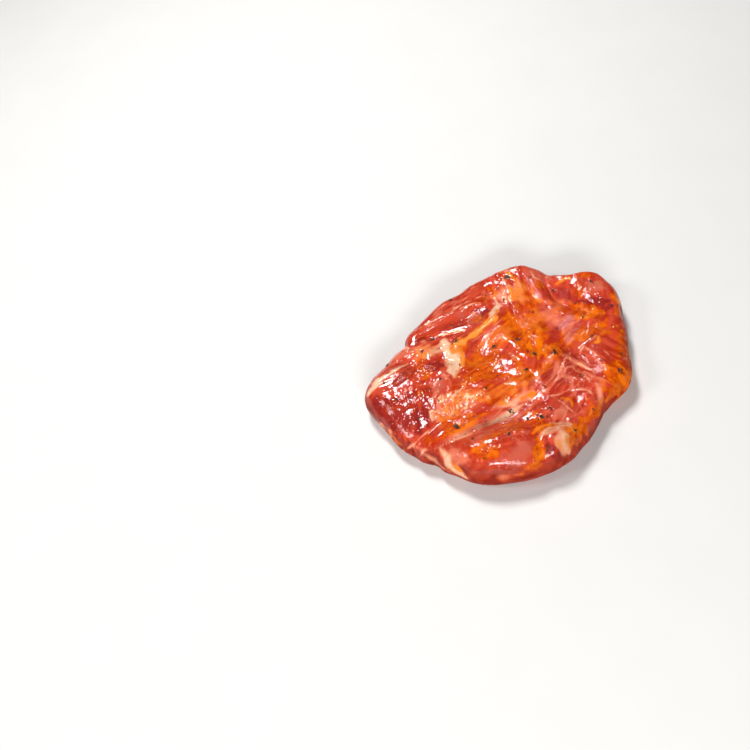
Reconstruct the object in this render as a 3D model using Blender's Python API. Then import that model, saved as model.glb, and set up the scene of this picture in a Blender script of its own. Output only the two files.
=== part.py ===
"""A boneless raw pork chop in an oily paprika marinade, with cracked pepper stuck to it.

The chop is one solid slab of several muscles. Its outline is an ellipse with lobes and hollows, its
top is a height worked out from swells, seams and ridges, and its edge is rounded like a soft cushion.
It rests on its flat underside. Origin: the middle of the underside, +X along the chop, +Z up.
"""

import math
import random

import bmesh
import bpy
import numpy as np
from mathutils import Matrix, Vector

# Driving dimensions. All sizes in this file are in millimetres until the meshes are made.
MM = 0.001
HALF_LENGTH = 69.5
HALF_WIDTH = 59.0
TOP = 14.6
WAIST = 0.42
EDGE_ROUND_BELOW = 4.0
EDGE_ROUND_ABOVE = 7.5

# Lobes and hollows of the outline: direction and spread in degrees, then how far it stands out.
RIM_LOBES = {
    "corner flap": (19.1, 10.6, 7.2),
    "flap tip": (26.6, 3.9, 3.3),
    "back corner": (60.2, 11.6, 8.3),
    "back shoulder": (82.0, 6.0, 2.3),
    "long back edge": (146.0, 40.3, -5.4),
    "back nick": (137.5, 3.2, -2.0),
    "left end": (165.3, 8.6, 8.5),
    "left dip": (212.4, 8.6, -3.3),
    "front bulge": (249.4, 26.6, 1.6),
    "front hollow": (306.7, 19.3, -7.9),
    "right hollow": (338.3, 20.5, -8.0),
    "right tip": (328.8, 8.3, 5.1),
}

# How much rounder than the rest the edge is there: direction and spread in degrees, added radius.
SOFT_SHOULDERS = {
    "front lobe": (238.0, 26.0, 3.5),
    "left end": (186.0, 20.0, 4.5),
    "back": (95.0, 40.0, -1.8),
    "corner flap": (25.0, 14.0, -3.0),
}

# Swells of the top: middle x and y, half-length, half-width, turn in degrees, height.
SWELLS = {
    "front lobe": (-24.0, -43.0, 19.0, 8.5, -14.0, 5.2),
    "left lobe": (-50.0, 3.0, 12.0, 15.0, 0.0, 3.0),
    "middle dome": (-10.0, -3.0, 20.0, 11.0, 8.0, 2.4),
    "back strip": (-14.0, 47.0, 24.0, 4.0, 14.0, 1.6),
    "back corner": (26.0, 45.0, 12.0, 9.0, 20.0, 1.6),
    "right muscle": (22.0, -20.0, 15.0, 9.0, -20.0, 1.0),
    "far right muscle": (46.0, -10.0, 9.0, 13.0, -10.0, 0.8),
    "fat knob": (5.0, -50.0, 6.0, 4.5, 60.0, 2.0),
    "raised flap": (62.0, 27.0, 8.0, 9.0, 30.0, 3.6),
    "dull facet": (-35.0, 4.0, 5.5, 6.5, 20.0, -2.0),
    "red hollow": (-12.0, 38.5, 12.0, 3.4, 3.0, -2.2),
    "flap hollow": (46.0, 25.0, 4.0, 9.0, 12.0, -2.6),
}

# Seams between muscles: width, depth (a ridge where negative), and the points it runs through.
SEAMS = {
    "front seam": (4.6, 2.8, ((-70, -35), (-52, -30), (-36, -28.5), (-20, -28), (-6, -27), (4, -21))),
    "second crease": (3.8, 1.5, ((-74, -28), (-56, -22), (-46, -18.5), (-36, -14))),
    "middle web": (4.2, 1.2, ((3, -24), (8, -15), (7, -4), (4, 6), (-2, 16))),
    "right seam": (4.0, 1.2, ((9, -24), (20, -15), (28, -9), (38, -6), (48, -4), (60, -2))),
    "right fold": (3.6, 1.0, ((10, -28), (20, -28), (28, -31), (31, -40))),
    "knob crease": (3.8, 1.7, ((-8, -66), (-9, -54), (-3, -46), (6, -43), (12, -44))),
    "flap crease": (4.4, 2.2, ((48, 58), (41.5, 38), (43, 27), (48, 16), (57, 6), (72, 0))),
    "back crease": (4.0, 1.4, ((-46, 36), (-26, 43.5), (-6, 46.5), (10, 48), (26, 47))),
    "yellow seam": (3.4, 1.2, ((-33, 38), (-24, 34.5), (-12, 31), (-6, 29))),
    "upright folds": (4.0, 1.0, ((31, 48), (32, 38), (33, 28), (38, 18))),
    "fat strand": (3.8, -1.2, ((-22, 14), (-17, 22), (-6, 25), (5, 28), (12, 35))),
    "lobe ridge": (4.0, -1.3, ((-24, 16), (-28, 6), (-33, -3), (-42, -12))),
    "left fat": (4.0, -1.0, ((-70, 15), (-55, 21), (-42, 23.5))),
}

# Share of a seam's length over which it fades in and out.
SEAM_FADE = 0.2

# Upright creases in the side wall: direction and spread in degrees, depth.
WALL_CREASES = {
    "first left": (200.0, 2.2, 1.5),
    "second left": (210.0, 2.0, 1.8),
    "beside the fat band": (223.0, 2.4, 1.2),
    "front": (262.0, 2.6, 0.8),
    "after the knob": (284.0, 2.6, 0.6),
    "right": (308.0, 2.6, 0.5),
    "under the flap": (3.0, 3.0, 1.2),
    "back": (137.0, 3.0, 1.4),
}

# Soft unevenness of the flesh, as seeded sine waves: wavelength, height, number of waves.
UNEVEN = ((34.0, 0.55, 7), (17.0, 0.38, 9))
WAVE_SEED = 11

# Mesh density: cells along, across and up the slab, before it is shaped.
CELLS_ALONG = 56
CELLS_ACROSS = 50
CELLS_UP = 7
SAME = 1e-6

# Cracked pepper: the largest flakes where they lie (x, y, length), then smaller ones by a seeded rule.
LARGE_FLAKES = (
    (1.0, -37.0, 3.8),
    (45.0, -29.0, 3.4),
    (25.0, 51.0, 3.4),
    (0.0, 13.5, 3.2),
    (24.0, -5.0, 3.4),
    (-16.5, 24.5, 3.0),
    (14.0, -2.0, 2.8),
    (11.5, 10.5, 2.8),
    (-25.5, 33.5, 3.0),
    (-36.5, -23.0, 2.8),
    (-17.5, -41.0, 2.8),
    (-10.0, -25.5, 2.6),
    (11.5, -50.0, 2.4),
    (7.0, -8.0, 2.2),
    (52.0, -21.0, 2.2),
    (-5.0, -34.0, 2.0),
    (-34.0, 27.0, 2.0),
    (7.0, -34.0, 2.0),
)
SMALL_FLAKES = 34
SMALL_FLAKE_LENGTHS = (2.0, 1.3)
FLAKE_SEED = 5
FLAKE_WIDTH = 0.68
FLAKE_THICKNESS = 0.42
FLAKE_SUNK = 0.25
FLAKE_ROUGHNESS = (0.78, 1.12)
FLAKE_EDGE_GAP = 3.0
CLEAR_OF_EACH_OTHER = 4.5
TRIES_EACH = 30
SLOPE_STEP = 0.4

FLESH_COLOUR = (0.56, 0.10, 0.035, 1.0)
FLESH_ROUGHNESS = 0.28
SHARP_ANGLE = 40.0


def clear_scene():
    for thing in list(bpy.data.objects):
        bpy.data.objects.remove(thing, do_unlink=True)


def flesh_material():
    material = bpy.data.materials.new("marinated flesh")
    material.use_nodes = True
    shader = material.node_tree.nodes["Principled BSDF"]
    shader.inputs["Base Color"].default_value = FLESH_COLOUR
    shader.inputs["Roughness"].default_value = FLESH_ROUGHNESS
    shader.inputs["Metallic"].default_value = 0.0
    return material


def angle_gap(turn, direction):
    """Signed angle from a direction to each turn, both in degrees, in -180..180."""
    return (np.degrees(turn) - direction + 180.0) % 360.0 - 180.0


def bell(offset, spread):
    """A bell curve of height 1: exp(-(offset / spread)^2 / 2)."""
    return np.exp(-0.5 * (offset / spread) ** 2)


def rim_radius(turn):
    """Distance from the middle to the outline: an ellipse in polar form, plus one bell for each lobe."""
    radius = HALF_LENGTH * HALF_WIDTH / np.hypot(HALF_WIDTH * np.cos(turn), HALF_LENGTH * np.sin(turn))
    for direction, spread, stand_out in RIM_LOBES.values():
        radius = radius + stand_out * bell(angle_gap(turn, direction), spread)
    return radius


def edge_round(turn):
    """Radius, seen from above, of the quarter arc from the top face to the widest line of the edge."""
    radius = np.full_like(turn, EDGE_ROUND_ABOVE)
    for direction, spread, more in SOFT_SHOULDERS.values():
        radius = radius + more * bell(angle_gap(turn, direction), spread)
    return radius


def through_points(points, steps=8):
    """A smooth line through the points: a Catmull-Rom curve, read at equal steps of each span."""
    knots = np.array(points, float)
    knots = np.vstack([2 * knots[0] - knots[1], knots, 2 * knots[-1] - knots[-2]])
    t = np.linspace(0.0, 1.0, steps, endpoint=False)[:, None]
    spans = []
    for a, b, c, d in zip(knots, knots[1:], knots[2:], knots[3:]):
        cubic = (3 * b - 3 * c + d - a) * t**3 + (2 * a - 5 * b + 4 * c - d) * t**2 + (c - a) * t + 2 * b
        spans.append(0.5 * cubic)
    return np.vstack([*spans, knots[-2:-1]])


def nearest_on_line(x, y, line):
    """Least distance from each point to a line's straight pieces, and how far along it that lies, 0 to 1."""
    least = np.full_like(x, np.inf)
    place = np.zeros_like(x)
    for i, ((ax, ay), (bx, by)) in enumerate(zip(line, line[1:])):
        length_squared = (bx - ax) ** 2 + (by - ay) ** 2
        along = np.clip(((x - ax) * (bx - ax) + (y - ay) * (by - ay)) / length_squared, 0.0, 1.0)
        distance = np.hypot(x - ax - along * (bx - ax), y - ay - along * (by - ay))
        place = np.where(distance < least, (i + along) / (len(line) - 1), place)
        least = np.minimum(least, distance)
    return least, place


def seam_depth(x, y, width, depth, points):
    """A seam's depth: a bell across it, which fades in and out at its ends."""
    distance, place = nearest_on_line(x, y, through_points(points))
    fade = np.clip(np.minimum(place, 1.0 - place) / SEAM_FADE, 0.0, 1.0)
    return depth * fade * bell(distance, width / 2)


def unevenness(x, y):
    """Sum of sine waves whose directions and phases come from a seeded draw."""
    draw = random.Random(WAVE_SEED)
    total = np.zeros_like(x)
    for wavelength, height, count in UNEVEN:
        for _ in range(count):
            heading = draw.uniform(0.0, math.tau)
            phase = draw.uniform(0.0, math.tau)
            stretch = draw.uniform(0.8, 1.25)
            reach = (x * math.cos(heading) + y * math.sin(heading)) * math.tau / (wavelength * stretch)
            total += height * math.sqrt(2.0 / count) * np.sin(reach + phase)
    return total


def top_height(x, y):
    """Height of the top face: a level, plus bell-shaped swells, less bell-shaped seams, plus unevenness."""
    height = TOP + unevenness(x, y)
    for middle_x, middle_y, half_length, half_width, turn, rise in SWELLS.values():
        cos, sin = math.cos(math.radians(turn)), math.sin(math.radians(turn))
        lengthwise = ((x - middle_x) * cos + (y - middle_y) * sin) / half_length
        crosswise = ((y - middle_y) * cos - (x - middle_x) * sin) / half_width
        height = height + rise * bell(np.hypot(lengthwise, crosswise), 1.0)
    for seam in SEAMS.values():
        height = height - seam_depth(x, y, *seam)
    return height


def wall_crease(turn, lift):
    """How far the side wall is drawn in: a bell for each crease, deepest at the widest line."""
    drawn_in = np.zeros_like(turn)
    for direction, spread, depth in WALL_CREASES.values():
        drawn_in += depth * bell(angle_gap(turn, direction), spread)
    return drawn_in * np.cos(lift) ** 2


def top_face(reach, turn):
    """Points of the top face: reach 0 at the middle, 1 where the rounded edge starts."""
    radius = reach * (rim_radius(turn) - edge_round(turn))
    x, y = radius * np.cos(turn), radius * np.sin(turn)
    return x, y, top_height(x, y)


def side_wall(lift, turn):
    """Points of the edge: lift 90 degrees at the top face, 0 at the widest line, -90 at the underside.

    Above the widest line the edge is a quarter of an ellipse up to the top face's own height, and
    below it a quarter of an ellipse down to the flat underside.
    """
    crest = rim_radius(turn) - edge_round(turn)
    crest_height = top_height(crest * np.cos(turn), crest * np.sin(turn))
    waist = WAIST * crest_height
    upper = lift > 0
    inset = np.where(upper, edge_round(turn), EDGE_ROUND_BELOW) * (1.0 - np.cos(lift))
    radius = rim_radius(turn) - inset - wall_crease(turn, lift)
    height = waist + np.where(upper, crest_height - waist, waist) * np.sin(lift)
    return radius * np.cos(turn), radius * np.sin(turn), height


def upper_surface(x, y):
    """Height of the slab's upper side over any point of its plan, on the top face or the rounded edge."""
    turn = np.arctan2(y, x)
    reach = np.hypot(x, y)
    crest = rim_radius(turn) - edge_round(turn)
    cosine = np.clip(1.0 - (rim_radius(turn) - reach) / edge_round(turn), 0.0, 1.0)
    crest_height = top_height(crest * np.cos(turn), crest * np.sin(turn))
    waist = WAIST * crest_height
    lifted = waist + (crest_height - waist) * np.sqrt(1.0 - cosine**2)
    return np.where(reach < crest, top_height(x, y), lifted)


def middle_of_plan():
    """Middle of the outline's box, which becomes the origin."""
    turn = np.linspace(0.0, math.tau, 1440, endpoint=False)
    x, y = rim_radius(turn) * np.cos(turn), rim_radius(turn) * np.sin(turn)
    return (x.min() + x.max()) / 2, (y.min() + y.max()) / 2


def cut_into_cells(bm, axis, cells):
    """Divides every edge that runs along the axis into equal cells. All edges run along an axis."""
    along = [edge for edge in bm.edges if abs((edge.verts[0].co - edge.verts[1].co)[axis]) > SAME]
    bmesh.ops.subdivide_edges(bm, edges=along, cuts=cells - 1, use_grid_fill=True)


def shape_slab(bm):
    """Moves the cells of a 2 x 2 x 2 block onto the slab.

    The block's square plan becomes a disc by x = u sqrt(1 - v^2 / 2), y = v sqrt(1 - u^2 / 2).
    Its upper face takes the top face, its sides the rounded edge, and its lower face the underside.
    """
    u, v, w = np.array([vertex.co for vertex in bm.verts]).T
    disc_x = u * np.sqrt(1.0 - v**2 / 2)
    disc_y = v * np.sqrt(1.0 - u**2 / 2)
    reach = np.hypot(disc_x, disc_y)
    turn = np.arctan2(disc_y, disc_x)
    on_top = w > 1.0 - SAME
    underneath = w < SAME - 1.0
    shift_x, shift_y = middle_of_plan()
    top = np.array(top_face(reach, turn))
    side = np.array(side_wall(w * math.pi / 2, turn))
    flat = np.array([reach * side[0], reach * side[1], np.zeros_like(reach)])
    points = np.where(on_top, top, np.where(underneath, flat, side))
    for vertex, (x, y, z) in zip(bm.verts, points.T):
        vertex.co = Vector((x - shift_x, y - shift_y, z)) * MM


def make_slab(collection, material):
    bm = bmesh.new()
    bmesh.ops.create_cube(bm, size=2.0)
    cut_into_cells(bm, 2, CELLS_UP)
    cut_into_cells(bm, 0, CELLS_ALONG)
    cut_into_cells(bm, 1, CELLS_ACROSS)
    lowest = [face for face in bm.faces if face.normal.z < -0.5]
    shape_slab(bm)
    bmesh.ops.dissolve_faces(bm, faces=lowest)
    bmesh.ops.triangulate(bm, faces=bm.faces)
    mesh = bpy.data.meshes.new("pork_chop")
    bm.to_mesh(mesh)
    bm.free()
    mesh.shade_smooth()
    mesh.materials.append(material)
    slab = bpy.data.objects.new("pork_chop", mesh)
    collection.objects.link(slab)
    return slab


def small_flakes(draw):
    """Places for the smaller flakes: of a few random places, each takes the one furthest from the rest."""
    flakes = list(LARGE_FLAKES)
    lengths = np.linspace(*SMALL_FLAKE_LENGTHS, SMALL_FLAKES)
    for length in lengths:
        best, best_gap = None, 0.0
        for _ in range(TRIES_EACH):
            turn = draw.uniform(0.0, math.tau)
            limit = float(rim_radius(np.array([turn]))[0]) - FLAKE_EDGE_GAP
            reach = limit * math.sqrt(draw.random())
            x, y = reach * math.cos(turn), reach * math.sin(turn)
            gap = min(math.hypot(x - flake[0], y - flake[1]) for flake in flakes)
            if gap > best_gap:
                best, best_gap = (x, y, float(length)), gap
        if best_gap > CLEAR_OF_EACH_OTHER:
            flakes.append(best)
    return flakes[len(LARGE_FLAKES):]


def surface_frame(x, y):
    """Height and outward normal of the upper side over one point of the plan."""
    step = SLOPE_STEP
    spots = np.array([[x, y], [x + step, y], [x - step, y], [x, y + step], [x, y - step]])
    height = upper_surface(spots[:, 0], spots[:, 1])
    slope_x = (height[1] - height[2]) / (2 * step)
    slope_y = (height[3] - height[4]) / (2 * step)
    return float(height[0]), Vector((-slope_x, -slope_y, 1.0)).normalized()


def make_flake(name, flake, draw, collection):
    """A broken bit of pepper: a jittered 20-faced ball, flattened and laid on the surface."""
    x, y, length = flake
    height, normal = surface_frame(x, y)
    shift_x, shift_y = middle_of_plan()
    bm = bmesh.new()
    bmesh.ops.create_icosphere(bm, subdivisions=1, radius=length / 2)
    for vertex in bm.verts:
        vertex.co *= draw.uniform(*FLAKE_ROUGHNESS)
        vertex.co.y *= FLAKE_WIDTH
        vertex.co.z *= FLAKE_THICKNESS
    spin = Matrix.Rotation(draw.uniform(0.0, math.pi), 4, "Z")
    lying = normal.to_track_quat("Z", "Y").to_matrix().to_4x4() @ spin
    raised = Vector((x - shift_x, y - shift_y, height)) + normal * length * FLAKE_THICKNESS * FLAKE_SUNK
    bmesh.ops.transform(bm, matrix=Matrix.Scale(MM, 4) @ Matrix.Translation(raised) @ lying, verts=bm.verts)
    mesh = bpy.data.meshes.new(name)
    bm.to_mesh(mesh)
    bm.free()
    flake_object = bpy.data.objects.new(name, mesh)
    flake_object.hide_render = True
    flake_object.display_type = "WIRE"
    collection.objects.link(flake_object)
    return flake_object


def make_flakes(collection):
    draw = random.Random(FLAKE_SEED)
    flakes = [*LARGE_FLAKES, *small_flakes(draw)]
    return [make_flake(f"flake_{i:02d}", flake, draw, collection) for i, flake in enumerate(flakes)]


def fuse(slab, toppings):
    """Joins the toppings to the slab with one Boolean union, then removes them."""
    union = slab.modifiers.new("stuck on", "BOOLEAN")
    union.operation = "UNION"
    union.operand_type = "COLLECTION"
    union.collection = toppings
    union.solver = "EXACT"
    bpy.context.view_layer.update()
    graph = bpy.context.evaluated_depsgraph_get()
    joined = bpy.data.meshes.new_from_object(slab.evaluated_get(graph))
    slab.modifiers.remove(union)
    bare = slab.data
    slab.data = joined
    bpy.data.meshes.remove(bare)
    joined.name = "pork_chop"
    for topping in list(toppings.objects):
        bpy.data.objects.remove(topping, do_unlink=True)
    bpy.data.collections.remove(toppings)


def keep_largest_piece(slab):
    """Drops any loose scrap that the union left: only the faces joined to the largest group stay."""
    bm = bmesh.new()
    bm.from_mesh(slab.data)
    groups = []
    unseen = set(bm.faces)
    while unseen:
        front = [unseen.pop()]
        group = []
        while front:
            face = front.pop()
            group.append(face)
            for edge in face.edges:
                for other in edge.link_faces:
                    if other in unseen:
                        unseen.remove(other)
                        front.append(other)
        groups.append(group)
    groups.sort(key=len)
    scraps = [face for group in groups[:-1] for face in group]
    bmesh.ops.delete(bm, geom=scraps, context="FACES")
    bm.to_mesh(slab.data)
    bm.free()
    slab.data.set_sharp_from_angle(angle=math.radians(SHARP_ANGLE))


def main():
    clear_scene()
    parts = bpy.data.collections.new("pork chop")
    toppings = bpy.data.collections.new("toppings")
    for collection in (parts, toppings):
        bpy.context.scene.collection.children.link(collection)
    slab = make_slab(parts, flesh_material())
    make_flakes(toppings)
    fuse(slab, toppings)
    keep_largest_piece(slab)


main()
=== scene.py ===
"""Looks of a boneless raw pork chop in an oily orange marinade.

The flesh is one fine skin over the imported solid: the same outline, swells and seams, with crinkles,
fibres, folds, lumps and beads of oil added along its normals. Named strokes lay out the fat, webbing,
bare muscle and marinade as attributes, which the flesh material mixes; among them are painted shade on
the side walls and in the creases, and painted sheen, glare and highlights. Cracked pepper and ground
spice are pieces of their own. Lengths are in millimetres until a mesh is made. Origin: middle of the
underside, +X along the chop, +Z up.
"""

import math
import random

import bpy
import numpy as np
from mathutils import Matrix


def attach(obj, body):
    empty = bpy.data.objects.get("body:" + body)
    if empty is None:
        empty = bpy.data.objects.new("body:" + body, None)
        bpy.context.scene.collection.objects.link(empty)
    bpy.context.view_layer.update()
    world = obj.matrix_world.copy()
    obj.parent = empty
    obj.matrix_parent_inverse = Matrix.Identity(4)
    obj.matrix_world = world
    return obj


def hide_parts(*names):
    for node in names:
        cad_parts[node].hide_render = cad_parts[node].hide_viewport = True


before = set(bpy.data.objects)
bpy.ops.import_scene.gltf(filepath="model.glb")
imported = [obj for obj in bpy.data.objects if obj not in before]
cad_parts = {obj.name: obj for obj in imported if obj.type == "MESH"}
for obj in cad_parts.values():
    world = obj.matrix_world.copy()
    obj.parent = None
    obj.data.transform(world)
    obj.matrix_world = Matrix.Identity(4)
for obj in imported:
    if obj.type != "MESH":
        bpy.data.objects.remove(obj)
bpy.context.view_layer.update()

MM = 0.001
NODE = "pork_chop"

# The slab's form, as in the solid: outline, level of the top, and rounding of the edge.
HALF_LENGTH = 69.5
HALF_WIDTH = 59.0
TOP = 14.6
WAIST = 0.42
EDGE_ROUND_BELOW = 4.0
EDGE_ROUND_ABOVE = 7.5

# Lobes and hollows of the outline: direction and spread in degrees, then how far it stands out.
RIM_LOBES = {
    "corner flap": (19.1, 10.6, 7.2),
    "flap tip": (26.6, 3.9, 3.3),
    "back corner": (60.2, 11.6, 8.3),
    "back shoulder": (82.0, 6.0, 2.3),
    "long back edge": (146.0, 40.3, -5.4),
    "back nick": (137.5, 3.2, -2.0),
    "left end": (165.3, 8.6, 8.5),
    "left dip": (212.4, 8.6, -3.3),
    "front bulge": (249.4, 26.6, 1.6),
    "front hollow": (306.7, 19.3, -7.9),
    "right hollow": (338.3, 20.5, -8.0),
    "right tip": (328.8, 8.3, 5.1),
}

# How much rounder than the rest the edge is there: direction and spread in degrees, added radius.
SOFT_SHOULDERS = {
    "front lobe": (238.0, 26.0, 3.5),
    "left end": (186.0, 20.0, 4.5),
    "back": (95.0, 40.0, -1.8),
    "corner flap": (25.0, 14.0, -3.0),
}

# Swells of the top: middle x and y, half-length, half-width, turn in degrees, height.
SWELLS = {
    "front lobe": (-24.0, -43.0, 19.0, 8.5, -14.0, 5.2),
    "left lobe": (-50.0, 3.0, 12.0, 15.0, 0.0, 3.0),
    "middle dome": (-10.0, -3.0, 20.0, 11.0, 8.0, 2.4),
    "back strip": (-14.0, 47.0, 24.0, 4.0, 14.0, 1.6),
    "back corner": (26.0, 45.0, 12.0, 9.0, 20.0, 1.6),
    "right muscle": (22.0, -20.0, 15.0, 9.0, -20.0, 1.0),
    "far right muscle": (46.0, -10.0, 9.0, 13.0, -10.0, 0.8),
    "fat knob": (5.0, -50.0, 6.0, 4.5, 60.0, 2.0),
    "raised flap": (62.0, 27.0, 8.0, 9.0, 30.0, 3.6),
    "dull facet": (-35.0, 4.0, 5.5, 6.5, 20.0, -2.0),
    "red hollow": (-12.0, 38.5, 12.0, 3.4, 3.0, -2.2),
    "flap hollow": (46.0, 25.0, 4.0, 9.0, 12.0, -2.6),
}

# Seams between muscles: width, depth (a ridge where negative), and the points it runs through.
SEAMS = {
    "front seam": (4.6, 2.8, ((-70, -35), (-52, -30), (-36, -28.5), (-20, -28), (-6, -27), (4, -21))),
    "second crease": (3.8, 1.5, ((-74, -28), (-56, -22), (-46, -18.5), (-36, -14))),
    "middle web": (4.2, 1.2, ((3, -24), (8, -15), (7, -4), (4, 6), (-2, 16))),
    "right seam": (4.0, 1.2, ((9, -24), (20, -15), (28, -9), (38, -6), (48, -4), (60, -2))),
    "right fold": (3.6, 1.0, ((10, -28), (20, -28), (28, -31), (31, -40))),
    "knob crease": (3.8, 1.7, ((-8, -66), (-9, -54), (-3, -46), (6, -43), (12, -44))),
    "flap crease": (4.4, 2.2, ((48, 58), (41.5, 38), (43, 27), (48, 16), (57, 6), (72, 0))),
    "back crease": (4.0, 1.4, ((-46, 36), (-26, 43.5), (-6, 46.5), (10, 48), (26, 47))),
    "yellow seam": (3.4, 1.2, ((-33, 38), (-24, 34.5), (-12, 31), (-6, 29))),
    "upright folds": (4.0, 1.0, ((31, 48), (32, 38), (33, 28), (38, 18))),
    "fat strand": (3.8, -1.2, ((-22, 14), (-17, 22), (-6, 25), (5, 28), (12, 35))),
    "lobe ridge": (4.0, -1.3, ((-24, 16), (-28, 6), (-33, -3), (-42, -12))),
    "left fat": (4.0, -1.0, ((-70, 15), (-55, 21), (-42, 23.5))),
}

# Share of a seam's length over which it fades in and out.
SEAM_FADE = 0.2

# Upright creases in the side wall: direction and spread in degrees, depth.
WALL_CREASES = {
    "first left": (200.0, 2.2, 1.5),
    "second left": (210.0, 2.0, 1.8),
    "beside the fat band": (223.0, 2.4, 1.2),
    "front": (262.0, 2.6, 0.8),
    "after the knob": (284.0, 2.6, 0.6),
    "right": (308.0, 2.6, 0.5),
    "under the flap": (3.0, 3.0, 1.2),
    "back": (137.0, 3.0, 1.4),
}

# Soft unevenness of the flesh, as seeded sine waves: wavelength, height, number of waves.
UNEVEN = ((34.0, 0.55, 7), (17.0, 0.38, 9))
WAVE_SEED = 11

# Fineness of the skin: cells across the top, levels up the edge, rings under the slab.
CELLS = 250
EDGE_LEVELS = 24
UNDER_RINGS = 6

# The muscles run through the slab at this slant, in mm sideways for each mm of height.
SLANT = (0.26, 0.70)

# What lies where on the chop, with painted shade, sheen and highlights among it. Each stroke: its width,
# or its width at each point, then the softness of its edge, its strength, and its points.
CREAM_FAT_AND_GLARE = {
    "big patch": (
        (4.0, 8.5, 9.5, 8.0, 6.0, 1.5), 3.0, 1.0,
        ((-21, 28), (-21.5, 24), (-20.5, 18), (-22, 13), (-24, 9), (-25.4, 5)),
    ),
    "patch left": (4.0, 4.0, 0.6, ((-31, 25), (-27, 24), (-23, 23))),
    "pointed bit": (
        (0.6, 2.0, 3.6, 3.4, 1.0), 1.4, 0.85,
        ((13.8, 41), (13, 37.5), (11, 34.5), (8.5, 32.5), (5, 30.5)),
    ),
    "left streak": (
        (0.8, 2.4, 3.8, 2.6, 1.2, 0.4), 1.3, 0.95,
        ((-69, 15), (-66.5, 17), (-63, 19.3), (-57, 21.5), (-50, 23), (-43, 24)),
    ),
    "left streak below": (1.0, 1.2, 0.65, ((-69, 16), (-63, 18), (-56, 18.6), (-49, 20.5))),
    "knob ridge": (
        (1.0, 4.0, 5.0, 4.4, 1.5), 2.6, 0.62,
        ((-4, -45), (0, -43.5), (5, -43.5), (9.5, -46), (12, -50)),
    ),
    "knob face": ((3.0, 5.6, 5.6, 2.4), 3.2, 0.78, ((5.5, -46.5), (5, -50), (3.8, -54), (2.5, -58.5))),
    "front band": (
        (0.8, 2.6, 3.0, 2.6, 0.8), 2.6, 0.85,
        ((-48.5, -30.5), (-47.8, -35), (-47.8, -41), (-46.5, -47), (-44.5, -52)),
    ),
    "second band": ((0.6, 1.8, 2.0, 0.8), 2.4, 0.42, ((-57, -30), (-54.5, -34.5), (-52, -40), (-49.5, -45))),
    "seam glow": ((0.8, 3.0, 3.0, 1.0), 2.2, 0.9, ((-25, -28.5), (-17, -28.2), (-10, -27.4), (-3, -25.8))),
    "seam line": (0.7, 1.2, 0.75, ((-51, -29.6), (-44, -29.6), (-37, -29.4), (-28, -28.6))),
    # Painted glare: a pale patch where the wet fold catches the light.
    "fold glare": (3.0, 2.6, 0.6, ((-44, -15.5), (-40, -15), (-36, -15))),
}
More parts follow.
